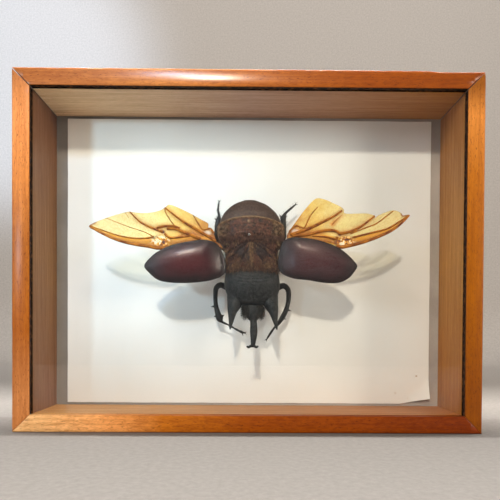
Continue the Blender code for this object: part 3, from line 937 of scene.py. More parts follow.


# Tones of the varnished front and of the inner side, by the share of the way from left or top, with
# painted sheen in the front tones and painted light and shade in the inner ones
BOTTOM_TONES = (
    ((0.05, (0.98, 0.56, 0.24)), (0.2, (0.98, 0.42, 0.13)), (0.32, (0.6, 0.18, 0.012)),
     (0.5, (0.37, 0.08, 0.002)), (0.95, (0.23, 0.036, 0.001))),
    ((0.1, (0.8, 0.4, 0.13)), (0.5, (0.57, 0.235, 0.05)), (0.9, (0.52, 0.18, 0.02))),
)
TOP_TONES = (
    ((0.1, (0.46, 0.14, 0.025)), (0.3, (0.66, 0.23, 0.045)), (0.5, (0.57, 0.165, 0.015)),
     (0.75, (0.38, 0.085, 0.003)), (0.95, (0.34, 0.075, 0.003))),
    ((0.1, (0.98, 0.72, 0.43)), (0.5, (0.56, 0.35, 0.26)), (0.9, (0.49, 0.205, 0.042))),
)
LEFT_TONES = (
    ((0.02, (0.55, 0.19, 0.05)), (0.12, (0.88, 0.31, 0.085)), (0.3, (0.74, 0.24, 0.04)),
     (0.48, (0.44, 0.12, 0.005)), (0.72, (0.42, 0.11, 0.005)), (0.9, (0.66, 0.25, 0.075))),
    ((0.1, (0.24, 0.105, 0.05)), (0.5, (0.34, 0.168, 0.062)), (0.9, (0.29, 0.138, 0.066))),
)
RIGHT_TONES = (
    ((0.04, (0.38, 0.125, 0.014)), (0.12, (0.84, 0.32, 0.06)), (0.28, (0.6, 0.195, 0.012)),
     (0.5, (0.455, 0.136, 0.002)), (0.9, (0.29, 0.076, 0.001))),
    ((0.1, (0.5, 0.22, 0.065)), (0.5, (0.62, 0.285, 0.056)), (0.9, (0.51, 0.185, 0.018))),
)


def build_frame():
    half = FRAME_WIDTH / 2
    lip = lip_material()
    middle = FRAME_HEIGHT / 2
    rails = [
        ("bottom_rail", FRAME_WIDTH, 0.0, (0.0, 0.0, 0.0), (0.0, 0.0), ALONG_X, 0.9, BOTTOM_TONES),
        ("top_rail", FRAME_WIDTH, math.pi, (0.0, 0.0, FRAME_HEIGHT), (0.0, 0.0), ALONG_X, 0.6,
         TOP_TONES),
        ("left_stile", FRAME_HEIGHT, math.pi / 2, (-half, 0.0, middle), (OPEN_MITRE, 0.0), ALONG_Z,
         0.35, LEFT_TONES),
        ("right_stile", FRAME_HEIGHT, -math.pi / 2, (half, 0.0, middle), (0.0, OPEN_MITRE), ALONG_Z,
         0.35, RIGHT_TONES),
    ]
    for name, length, turn, centre, gapes, grain, flecks, (varnished, inside) in rails:
        varnish = 0.4 if name == "top_rail" else 0.05
        # The front tones hold painted sheen and the inside tones painted light and shade, besides
        # the wood's own tone.
        front = wood_material(name + "_varnished", grain, varnished, flecks=flecks, varnish=varnish)
        inner = wood_material(name + "_inside", grain, inside, pores=0.5, flecks=0.25, varnish=0.0)
        build_rail(name, length, turn, centre, gapes, [front, inner, lip])


def dress_flat_pieces():
    """The glass and the board keep their solids and get their real materials."""
    for node, material in (("glass_pane", glass_material()), ("backing_board", board_material())):
        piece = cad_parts[node]
        for slot in piece.material_slots:
            slot.material = material


def build_sheet():
    """The white sheet, slightly wavy, its lower right corner lifted off the board."""
    back = BOARD_SETBACK - GAP
    bpy.ops.mesh.primitive_grid_add(x_subdivisions=150, y_subdivisions=118, size=1.0)
    sheet = new_piece("paper_sheet")
    for vert in sheet.data.vertices:
        x = SHEET_LEFT + (SHEET_RIGHT - SHEET_LEFT) * (vert.co.x + 0.5)
        z = SHEET_BOTTOM + (SHEET_TOP - SHEET_BOTTOM) * (vert.co.y + 0.5)
        reach = CURL_LENGTH - (SHEET_RIGHT - x) - (z - SHEET_BOTTOM)
        share = max(0.0, reach / CURL_LENGTH)
        edge = min(x - SHEET_LEFT, SHEET_RIGHT - x, z - SHEET_BOTTOM, SHEET_TOP - z)
        ragged = 0.12 * ripple(x, 3.0, z, 7.0) * clamp(1.0 - edge / 2.0)
        wave = 0.10 * (1.0 + ripple(x, 0.0, z, 45.0))
        depth = back - wave - CURL_RISE * share**1.6
        vert.co = place(x + ragged, depth, z + CURL_TRIM * share + ragged)
    face_way(sheet, OUT_OF_GLASS)
    add_modifier(sheet, "SOLIDIFY", thickness=SHEET_THICKNESS * MM * PAPER_SHARE, offset=1.0)
    return hand_over(smooth_shade(sheet, 40), [sheet_material()], "sheet", "backing_sheet")


def build_pin():
    """A thin pin with a small round head."""
    along_y = (math.radians(90), 0.0, 0.0)
    middle = (PIN_HEAD_DEPTH + PIN_POINT_DEPTH - PIN_TAPER) / 2
    bpy.ops.mesh.primitive_cylinder_add(
        vertices=20, radius=PIN_RADIUS * MM,
        depth=(PIN_POINT_DEPTH - PIN_TAPER - PIN_HEAD_DEPTH) * MM,
        location=place(PIN_X, middle, PIN_Z), rotation=along_y,
    )
    shaft = apply_place(new_piece("pin_shaft"))
    edit(shaft)
    select_faces(shaft, lambda c, n: n.y > 0.9)
    extrude((0.0, PIN_TAPER, 0.0))
    bpy.ops.transform.resize(
        value=(0.15, 1.0, 0.15), center_override=place(PIN_X, PIN_POINT_DEPTH, PIN_Z)
    )
    leave_edit()
    bpy.ops.mesh.primitive_uv_sphere_add(
        segments=24, ring_count=14, radius=PIN_HEAD_RADIUS * MM,
        location=place(PIN_X, PIN_HEAD_DEPTH + 0.2, PIN_Z),
    )
    head = apply_place(new_piece("pin_head"))
    pin = join([shaft, head], "pin")
    return hand_over(smooth_shade(pin, 40), [pin_material()], "pin", "mount_pin")


# Body

def body_of_rings(name, stations, segments, rings, squareness, low_end=0.05, end=0.05):
    """A closed body. A ball's rings are moved to sections across the long axis; a station is a
    height, a half width, and the depths of the front and the back."""
    path = smooth_path(stations, 10)
    bpy.ops.mesh.primitive_uv_sphere_add(segments=segments, ring_count=rings, radius=1.0)
    body = new_piece(name)
    for vert in body.data.vertices:
        share = 1.0 - math.acos(clamp(vert.co.z, -1.0, 1.0)) / math.pi
        turn = math.atan2(vert.co.y, vert.co.x)
        inner = clamp((share - low_end) / (1 - low_end - end)) * (len(path) - 1)
        first = min(int(inner), len(path) - 2)
        t = inner - first
        z, half, front, back = (a + (b - a) * t for a, b in zip(path[first], path[first + 1]))
        spread = math.sqrt(clamp(min(share / low_end, (1 - share) / end)))
        cosine = math.cos(turn)
        sine = -math.sin(turn)
        x = half * spread * math.copysign(abs(cosine) ** (2 / squareness), cosine)
        reach = (BODY_MIDDLE - front) if sine > 0 else (back - BODY_MIDDLE)
        rise = reach * spread * math.copysign(abs(sine) ** (2 / squareness), sine)
        vert.co = place(axis_x(z) + x, BODY_MIDDLE - rise, z)
    body.data.update()
    turn_outward(body)
    return body


ABDOMEN = [
    (109.4, 18.2, 10.3, 30.8), (113.6, 19, 9.8, 30.4), (118.5, 18.1, 9.8, 29.4),
    (123.5, 16, 10.4, 27.4), (126.5, 13.6, 11.4, 25.6), (130, 9.2, 13.4, 22.4),
    (132.4, 3.2, 15.8, 18.8),
]
THORAX = [
    (91.3, 15.2, 11.4, 30.6), (95.7, 15.3, 10.8, 30.8), (101.9, 15.4, 11, 31),
    (106.8, 17, 10.8, 31), (109.1, 18.1, 10.4, 30.9),
]
PRONOTUM = [
    (71.9, 9, 12.6, 24.4), (74, 12.6, 10.6, 26.6), (77.7, 14.8, 9, 28.4), (82.5, 16.2, 8.2, 29.4),
    (87, 15.9, 8.6, 29.8), (91, 15.2, 10.6, 29.6),
]
# Across from the body's axis, depth, height, radius
PRONOTAL_HORN = [
    (9.7, 17.4, 79, 5.2), (10, 16.4, 75, 4.9), (10.8, 15, 71.5, 4.1), (11.7, 13.8, 68.5, 3.1),
    (12.2, 12.8, 65.5, 2.2), (12.7, 12, 61.8, 1.4), (13.2, 11.2, 59, 0.8), (13.4, 10.8, 57.1, 0.3),
]
HEAD = [
    (62.6, 2.3, 13.6, 19.6), (64.6, 3.9, 12.8, 21.6), (67, 5.2, 12.6, 23), (69.5, 5.9, 12.9, 23.6),
    (71.5, 6.1, 13.4, 23.6),
]
HEAD_HORN = [
    (2.6, 16.6, 66.5, 2.3), (3, 15.2, 62.8, 2), (3.2, 13.6, 59.5, 2.05), (3.2, 12.2, 56, 2.2),
    (3.1, 11.2, 52.6, 1.8), (2.9, 10.6, 49.8, 1.45), (2.7, 10.3, 47.6, 1.1),
]
HEAD_FORK = [
    (-0.8, 9.5, 47.9, 0.45), (0.2, 10, 47.3, 0.75), (1.6, 10.4, 47.9, 0.8), (3.4, 10.4, 47.9, 0.8),
    (4.8, 10, 47.4, 0.75), (5.8, 9.5, 48, 0.45),
]


def border_z(x):
    """Height of the line where the abdomen's last plate begins."""
    return 121.9 - 0.0105 * x * x


def raise_front(body, rise):
    """Moves a body's front outward by what rise says of the place and its way from the axis."""
    def shift(x, depth, z):
        if depth > BODY_MIDDLE:
            return NO_SHIFT
        facing = clamp((BODY_MIDDLE - depth) / 5.0)
        return (0.0, -rise(x, z, x - axis_x(z)) * facing, 0.0)

    move_points(body, shift)


def abdomen_rise(x, z, across):
    """Ridges between the rings, the raised border of the last plate, and the folded sides."""
    above = z - border_z(across)
    rise = 0.14 * hump(above + 0.1, 0.35) - 0.16 * hump(above + 1.0, 0.5)
    for below in (4.6, 8.3):
        rise -= 0.13 * hump(above + below, 0.45)
        rise += 0.07 * hump(above + below + 0.9, 0.6)
    if above < -0.5:
        rise += 0.20 * ripple(x * 0.7, 1.0, z, 2.6)
        rise += 0.25 * hump(across, 0.9)
    fold = clamp((abs(across) - 11.2) / 2.0) * clamp(-above - 0.5)
    rise += fold * (0.75 * ripple(x, 2.0, z * 1.4, 1.9) - 0.35)
    return rise - 0.6 * clamp((113.0 - z) / 4.0) ** 2


def abdomen_fields(x, depth, z):
    """How far a place is on the smooth dome, in a dark pit, on the pale rim; the rim field also
    holds a painted highlight streak.
    """
    across = x - axis_x(z)
    aside = abs(across)
    above = z - border_z(across)
    side = clamp((aside - 11.0) / 1.5) * clamp(-above) * clamp((17.6 - aside) / 1.0)
    pits = side * soft_step(ripple(x, 2.0, z * 1.4, 1.6) * -3.6)
    border = 0.7 * hump(above + 0.1, 0.25)
    edge = clamp((depth - 14.0) / 1.5) * clamp((18.0 - depth) / 1.5) * clamp((-above + 2) / 2)
    patch = clamp(-above - 1) * clamp((aside - 12.5) / 2)
    patch *= soft_step(ripple(x, 7.0, z, 1.7) * 3.0 - 0.2)
    # Painted highlight: a pale streak beside the middle of the rings, added to the rim field.
    crest = hump(across + 1.2, 0.35) * clamp(above + 6.0) * clamp(-above - 1.0)
    crest *= clamp(0.3 + 1.6 * ripple(x, 8.0, z, 1.5))
    rim = clamp(max(border, edge * 0.8, patch * 0.8, crest))
    return soft_step(above / 0.8 + 0.5), pits, rim


def build_abdomen():
    body = body_of_rings("abdomen_body", ABDOMEN, 144, 110, 2.3, low_end=0.015)
    raise_front(body, abdomen_rise)
    rows = [abdomen_fields(*millimetres(vert.co)) for vert in body.data.vertices]
    store(body, ("dome", "pits", "rim"), rows)
    return hand_over(smooth_shade(body), [abdomen_material()], "brown_chitin", "abdomen")


def thorax_fields(x, z):
    """How far a place on the thorax's front is inside the bulges, the golden parts, the furrows."""
    across = x - axis_x(z)
    bulge = 0.0
    for side in (-1, 1):
        away = math.hypot((across - side * 6.2) / 4.0, (z - 102.0) / 4.8)
        bulge = max(bulge, 0.85 * soft_step((1.0 - away) * 2.2 + 0.5 * ripple(x, 3.0, z, 1.4)))
    wedge = clamp(1.3 - abs(across) / (0.5 + 0.13 * max(0.0, z - 95.0))) * clamp((108.5 - z) / 2.0)
    low = math.hypot((abs(across) - 9.2) / 3.0, (z - 94.6) / 2.6)
    gold = max(0.75 * soft_step(wedge), 0.7 * soft_step(1.25 - low))
    sides = clamp((abs(across) - 12.0) / 2.0) * soft_step(ripple(x, 4.0, z, 2.0) * 2.4)
    gold = clamp(max(gold, 0.8 * sides) * (0.55 + 0.9 * ripple(x, 9.0, z, 1.3)))
    furrow = 0.0
    for top, spread, foot in ((108.4, 1.05, 96.0), (105.0, 0.62, 93.0), (108.8, 1.75, 99.0)):
        drop = max(0.0, top - z)
        course = 1.2 + spread * drop + 0.5 * ripple(z, 5.0, top, 3.0)
        line = hump(abs(across) - course, 0.75)
        furrow = max(furrow, line * clamp((z - foot) / 3.0) * clamp(top - z + 1.0))
    furrow *= clamp(1.0 + ripple(x, 6.0, z, 1.8))
    return bulge, gold, furrow


def thorax_rise(x, z, across):
    """Bulges, hollows, a crest in the middle and furrows, with a rough surface."""
    bulge, gold, furrow = thorax_fields(x, z)
    rise = 0.6 * bulge - 0.35 + 0.42 * ripple(x, 1.0, z, 2.2) + 0.25 * ripple(x, 2.0, z, 0.9)
    rise += 0.45 * gold * hump(across, 1.0) + 0.1 * clamp((z - 103.0) / 5.0)
    return rise - 0.7 * furrow


def build_thorax():
    body = body_of_rings("thorax_body", THORAX, 144, 90, 2.3, low_end=0.02, end=0.02)
    raise_front(body, thorax_rise)
    places = [millimetres(vert.co) for vert in body.data.vertices]
    rows = [thorax_fields(x, z) if depth < BODY_MIDDLE else NO_SHIFT for x, depth, z in places]
    store(body, ("bulge", "gold", "furrow"), rows)
    return hand_over(smooth_shade(body), [thorax_material()], "brown_chitin", "thorax")


def build_pronotum(material):
    body = body_of_rings("pronotum_body", PRONOTUM, 64, 40, 2.1)
    pieces = [body]
    for side in (-1, 1):
        points = [(axis_x(z) + side * x, depth, z, girth) for x, depth, z, girth in PRONOTAL_HORN]
        pieces.append(tube("pronotal_horn", smooth_path(points, 4), 6))
    body = fuse(pieces, "pronotum_and_horns", 0.27, 6)

    def shift(x, depth, z):
        across = x - axis_x(z)
        if depth > BODY_MIDDLE:
            return NO_SHIFT
        groove = 0.16 * hump(across, 0.35) * clamp((z - 72.5) / 2) * clamp((90 - z) / 2)
        bumps = 0.0
        for bump_z in (81.3, 89.3):
            bumps += 0.22 * math.exp(-((across + 0.4) ** 2 + (z - bump_z) ** 2) / 0.8)
        collar = 0.07 * hump(z - 88.6, 0.5) * clamp((14.0 - abs(across)) / 2)
        grain = 0.07 * ripple(x, depth, z, 1.0) + 0.10 * ripple(x, depth, z, 2.8)
        for line in (87.2, 85.6, 84.0):
            bent = line + 0.012 * across * across + 0.5 * ripple(x, 1.0, line, 5.0)
            collar += 0.22 * hump(z - bent, 0.4) * clamp((11.0 - abs(across)) / 3)
        return (0.0, groove + collar - bumps - grain, 0.0)

    move_points(body, shift)
    return hand_over(smooth_shade(body), [material], "black_chitin", "pronotum")


def build_head(material):
    body = body_of_rings("head_body", HEAD, 48, 30, 2.3)
    horn = tube("head_horn", smooth_path(HEAD_HORN, 4), 6)
    fork = tube("head_horn_fork", smooth_path(HEAD_FORK, 5), 5)
    cheeks = []
    for side in (-1, 1):
        points = [
            (HEAD_X + side * 2.5, 15.5, 68.5, 1.9), (HEAD_X + side * 4.6, 14.6, 67.0, 1.3),
            (HEAD_X + side * 5.4, 14.2, 65.6, 0.7),
        ]
        cheeks.append(tube("cheek", smooth_path(points, 3), 4))
    body = fuse([body, horn, fork, *cheeks], "head_and_horn", 0.2, 4)
    move_points(body, lambda x, depth, z: (0.0, 0.06 * ripple(x, depth, z, 1.0), 0.0))
    return hand_over(smooth_shade(body), [material], "black_chitin", "head")


# Wings

ELYTRON_LEFT = [
    (-58.6, 93), (-54.2, 98.6), (-49.4, 102), (-43.3, 104.8), (-34.1, 107), (-26.4, 108.1),
    (-20.2, 107.2), (-16.4, 104.2), (-13.6, 98), (-12.9, 91.9), (-14.8, 88.1), (-20.1, 85.6),
    (-26.3, 84.2), (-35.6, 83.4), (-45.7, 83.7), (-51.4, 85.2), (-55.6, 88.6),
]
ELYTRON_RIGHT = [
    (61.3, 93.4), (59.2, 96.6), (56.2, 99.7), (52.1, 103), (45.9, 106.1), (36.6, 108.8),
    (27.3, 109.9), (21.8, 109.1), (18.6, 105.6), (17, 99), (17.2, 92.6), (19.7, 89), (26, 86.4),
    (33.7, 85.5), (43, 84), (50.7, 84), (56, 86.2), (59, 89.2),
]


def elytron_depth(x, z, share):
    """Depth of a wing case's outer face, this share of the way from its middle to its rim."""
    out = abs(x - axis_x(z)) - ELYTRON_DIP_START
    depth = ELYTRON_RIM_DEPTH - ELYTRON_DOME * (1 - share**2.4) - ELYTRON_RISE * max(0.0, out)
    return depth + ELYTRON_DIP * max(0.0, -out / ELYTRON_DIP_LENGTH) ** 2


def build_elytron(label, outline, material):
    """A wing case: a ball flattened to a thin shell, its front half the outer face."""
    rim = smooth_ring(outline, 8)
    segments = len(rim)
    centre_x = sum(x for x, z in rim) / segments
    centre_z = sum(z for x, z in rim) / segments
    bpy.ops.mesh.primitive_uv_sphere_add(segments=segments, ring_count=72, radius=1.0)
    shell = new_piece("wing_case_" + label)
    shares = []
    for vert in shell.data.vertices:
        polar = math.acos(clamp(vert.co.z, -1.0, 1.0)) / (math.pi / 2)
        front = polar <= 1.0
        share = polar if front else 2.0 - polar
        share = 1.0 - (1.0 - share) ** 1.15
        turn = math.atan2(vert.co.y, vert.co.x) / (2 * math.pi) * segments
        rim_x, rim_z = rim[int(round(turn)) % segments]
        x = centre_x + (rim_x - centre_x) * share
        z = centre_z + (rim_z - centre_z) * share
        depth = elytron_depth(x, z, share)
        if not front:
            depth += ELYTRON_THICKNESS * (1.0 - share**6)
        margin = hump(share - 0.93, 0.025)
        depth += 0.16 * margin if front else 0.0
        depth += 0.10 * ripple(x * 0.5, 1.0, z, 5.0) * (1 - share)
        shares.append((share,))
        vert.co = place(x, depth, z)
    shell.data.update()
    turn_outward(shell)
    store(shell, ("rim",), shares)
    return hand_over(smooth_shade(shell), [material], "wing_case", "elytron_" + label)


WING_LEFT = [
    (-90, 115.2), (-80.9, 120.1), (-70.1, 123.4), (-67.4, 123.7), (-59.7, 123.2), (-51.4, 124.6),
    (-47.9, 126.5), (-45.5, 128.4), (-40.7, 126.9), (-33.5, 123.5), (-27.5, 120.3), (-23.3, 118),
    (-23, 115.3), (-19.9, 112), (-18.6, 107.8), (-16.2, 106.2), (-15.8, 103.4), (-28, 101.4),
    (-40, 101.6), (-51.3, 103), (-57.3, 104), (-66.2, 105.2), (-75, 107.5), (-83.8, 111.4),
]
WING_RIGHT = [
    (91, 122.7), (87.4, 118.6), (81.5, 113.9), (72.8, 109.7), (63.9, 106.7), (54.9, 104.6),
    (42, 102.6), (30, 102.4), (18.9, 103.4), (19.4, 106.2), (21.8, 108.4), (22.2, 112.3),
    (26.7, 118.9), (32, 126.1), (38, 132.3), (42.8, 132), (48.8, 129.6), (53.9, 126.5),
    (54.8, 124.1), (60.8, 123.8), (66.7, 123.8), (71.5, 122.6), (72.1, 121.1), (73.8, 122.8),
    (81.5, 125.5), (86.2, 124.3), (87.6, 122.8),
]
# Each vein is a list of (x, z) points with its radius at the first and the last of them
VEINS_LEFT = [
    ([(-67.5, 123.8), (-62.2, 118.5), (-57.4, 115.9), (-51.4, 113.6), (-49, 112.8)], 0.16, 0.42),
    ([(-46.7, 114.6), (-41.3, 114.4), (-33.5, 111.2), (-27.5, 108.9)], 0.4, 0.45),
    ([(-47.9, 111.7), (-44.9, 109.5), (-40.7, 109.6), (-33.7, 110.6)], 0.38, 0.25),
    ([(-47.9, 126.5), (-41.9, 121.9), (-36, 117.8), (-28.7, 113.7), (-21.5, 109.6), (-19.1, 107.8)],
     0.22, 0.5),
    ([(-47.9, 126.5), (-47.3, 123.7), (-44.3, 118.8), (-42.5, 116.5)], 0.16, 0.14),
    ([(-52.4, 115), (-47.9, 116), (-42.8, 116.1), (-39.4, 115)], 0.3, 0.3),
    ([(-31.8, 122.7), (-29.4, 118.5), (-26.9, 115), (-25.1, 114.4), (-22.1, 115.1), (-20, 112.6)],
     0.14, 0.32),
    ([(-81.1, 120.2), (-69.3, 115.7), (-59.7, 112.6), (-55, 110.3)], 0.08, 0.14),
    ([(-70.2, 123.4), (-68.1, 120.2)], 0.08, 0.06),
    ([(-89.6, 115.4), (-82.9, 113.1), (-74.6, 110.4), (-66.2, 108.9), (-58.3, 108.9), (-54, 109.9)],
     0.1, 0.3),
    ([(-90, 115.2), (-83.8, 111.5), (-75, 107.7), (-66.2, 105.5), (-57.3, 104.3), (-51.3, 103.4),
     (-46, 104)], 0.2, 0.62),
]
VEINS_RIGHT = [
    ([(23.8, 111.7), (31, 114.1), (37, 116.5), (43, 119.5), (48.9, 122.5), (53.1, 125.5)], 0.5,
     0.25),
    ([(23.2, 113.6), (26.8, 116.9), (29.7, 116.2), (32.1, 116.2), (35.1, 122.5), (39.3, 127.6)],
     0.32, 0.12),
    ([(24.9, 111.1), (34, 111.7), (40, 113.5), (46, 114.4), (50.2, 113.7), (52, 112.2)], 0.42,
     0.42),
    ([(50.8, 110.4), (49, 109.2), (44.2, 110.4), (36.4, 111)], 0.4, 0.2),
    ([(52, 112.4), (57.9, 113.5), (63.9, 116.4), (68, 119.4), (71.6, 122.4)], 0.45, 0.2),
    ([(58, 112.3), (66.9, 115.8), (72.8, 118.2), (77.5, 121.7), (82.2, 125.3)], 0.22, 0.14),
    ([(59.1, 110.1), (68.7, 112.5), (78.7, 115.1), (85.8, 119.3), (91, 122.5)], 0.3, 0.22),
    ([(47.7, 117.7), (50.4, 120.6), (53.1, 123)], 0.12, 0.08),
    ([(90.9, 122.6), (87.3, 118.7), (81.4, 114.1), (72.7, 110), (63.8, 107), (55, 105),
     (50, 104.6)], 0.22, 0.6),
]
BAND_LEFT = [
    (-90.1, 115.3), (-83.9, 112.1), (-75.1, 108.9), (-66.2, 107.1), (-57.3, 106.5), (-51.4, 106.6),
    (-43.9, 107.4), (-33.6, 109.2), (-25.1, 108.8), (-18.8, 107.6),
]
BAND_RIGHT = [
    (91.1, 122.7), (87.6, 119.3), (81.7, 114.7), (72.8, 111.2), (63.9, 108.6), (55, 107.6),
    (46.6, 109), (36.4, 110.3), (24.9, 110.2), (20, 107.6),
]
# Label, side, outline, veins, the band's course, the stems' veins and their direction, then the
# knot and the pale cell with their half widths and half heights, and the joint
WINGS = (
    ("left", -1, WING_LEFT, VEINS_LEFT, BAND_LEFT, ((3, -1), (1, -1), (0, -1), (5, 1)),
     (-50.0, 107.6, 5.0, 3.0), (-23.6, 112.6, 2.0, 1.4), (-49.0, 112.8)),
    ("right", 1, WING_RIGHT, VEINS_RIGHT, BAND_RIGHT, ((0, 1), (2, 1), (4, 1), (7, 1)),
     (54.5, 108.0, 5.2, 3.2), (26.6, 113.8, 2.2, 1.2), (52.0, 112.0)),
)


def wing_depth(x):
    """Depth of the hind wing's plate."""
    return WING_ROOT_DEPTH - (abs(x) - WING_ROOT) * WING_TILT


def border_below(x, path):
    """Height of a path that runs along the wing, at this place across."""
    order = sorted(path)
    for (ax, az), (bx, bz) in zip(order, order[1:]):
        if ax <= x <= bx:
            return az + (bz - az) * (x - ax) / max(bx - ax, 0.01)
    return order[0][1] if x < order[0][0] else order[-1][1]


def wing_fields(x, z, side, band, knot, cell, outline, stems, joint):
    """The numbers that colour and shape one place on a wing."""
    away, share = distance_to_path(x, z, band)
    amber = soft_step((6.5 - away) / 5.0) * clamp((52.0 - abs(x)) / 14.0)
    reach = clamp((abs(x) - 14.0) / 66.0 - 0.30 * amber)
    width = 0.7 + 1.7 * math.sin(math.pi * clamp(share * 0.95 + 0.02)) ** 0.8
    band_share = soft_step((width - away) / 0.5)
    below = clamp((border_below(x, band) - z) / max(width, 0.6) * 0.5 + 0.5)
    knot_share = soft_step(1.5 - math.hypot((x - knot[0]) / knot[2], (z - knot[1]) / knot[3]))
    pale = soft_step(1.4 - math.hypot((x - cell[0]) / cell[2], (z - cell[1]) / cell[3]))
    leading = clamp((5.0 - away) / 1.5)
    border = 0.5 + 0.9 * leading
    edge = soft_step((border - distance_to_path(x, z, outline)[0]) / 0.9) * (0.12 + 0.88 * leading)
    stem = 0.0
    for course in stems:
        stem_away, stem_share = distance_to_path(x, z, course)
        stem = max(stem, hump(stem_away, 1.7) * (1.0 - 0.55 * stem_share))
    at_joint = soft_step(1.4 - math.hypot(x - joint[0], z - joint[1]) / 1.1)
    bulge = 0.55 * math.sqrt(clamp(1.0 - (away / (width + 0.4)) ** 2)) * (1 - 0.7 * knot_share)
    angle = math.atan2(z - 104.0, abs(x) - 10.0)
    pleat = 0.28 * math.sin(angle * 34.0) * clamp((abs(x) - 22.0) / 20.0) * (1 - band_share)
    crumple = knot_share * 0.85 * ripple(x, 3.0, z, 1.6)
    wave = 0.22 * ripple(x, side, z, 7.0) + 0.12 * ripple(x, side, z, 2.4)
    relief = pleat + crumple + wave - bulge
    amber_band = band_share * (0.4 + 0.6 * below)
    return reach, amber_band, knot_share, pale, edge, stem, at_joint, relief


def grid_inside(rim, closed):
    """Points of an even grid inside an outline, a little away from it."""
    xs, zs = zip(*rim)
    left = min(xs)
    low = min(zs)
    points = []
    for i in range(1, int((max(xs) - left) / WING_SPACING)):
        for j in range(1, int((max(zs) - low) / WING_SPACING)):
            x = left + i * WING_SPACING + (0.5 * WING_SPACING if j % 2 else 0.0)
            z = low + j * WING_SPACING
            if point_inside(x, z, rim) and distance_to_path(x, z, closed)[0] > 0.4 * WING_SPACING:
                points.append((x, z))
    return points


def build_wing(label, side, outline, veins, band, stems, knot, cell, joint, skin, vein_skin):
    """The membrane with its folds, and the veins that lie on it."""
    rim = smooth_ring(outline, 6)
    closed = [*rim, rim[0]]
    points = [Vector(point) for point in [*rim, *grid_inside(rim, closed)]]
    count = len(rim)
    loop = [(i, (i + 1) % count) for i in range(count)]
    verts, _, faces, *_ = delaunay_2d_cdt(points, loop, [], 1, 1e-6)
    path = smooth_path(band, 4)
    stems = [veins[number][0][::turn] for number, turn in stems]
    settings = (side, path, knot, cell, closed, stems, joint)
    fields = [wing_fields(v.x, v.y, *settings) for v in verts]
    places = [place(v.x, wing_depth(v.x) + f[-1], v.y) for v, f in zip(verts, fields)]
    membrane = new_mesh("hind_wing_skin_" + label, places, faces)
    store(membrane, ("reach", "band", "knot", "pale", "edge", "stem", "joint"), fields)
    face_way(membrane, OUT_OF_GLASS)
    add_modifier(membrane, "SOLIDIFY", thickness=MEMBRANE_THICKNESS * MM, offset=0.0)
    smooth_shade(membrane)
    hand_over(membrane, [skin], "wing_membrane", "hind_wing_" + label)

    tubes = []
    for number, (course, start, end) in enumerate(veins):
        smooth = smooth_path(course, 5)
        bars = []
        for i, (x, z) in enumerate(smooth):
            share = i / (len(smooth) - 1)
            relief = wing_fields(x, z, *settings)[-1]
            radius = (start + (end - start) * share) * VEIN_GIRTH
            bars.append((x, wing_depth(x) + relief - 0.3 * radius, z, radius))
        tubes.append(tube(f"vein_{number}", bars, 2))
    branches = join(tubes, "hind_wing_veins_" + label)
    return hand_over(smooth_shade(branches), [vein_skin], "wing_membrane")


def point_inside(x, z, ring):
    inside = False
    for (ax, az), (bx, bz) in zip(ring, [*ring[1:], ring[0]]):
        if (az > z) != (bz > z) and x < (bx - ax) * (z - az) / (bz - az) + ax:
            inside = not inside
    return inside


# Legs: (x, depth, z, radius) points from root to claw, spurs, and where the tarsus begins

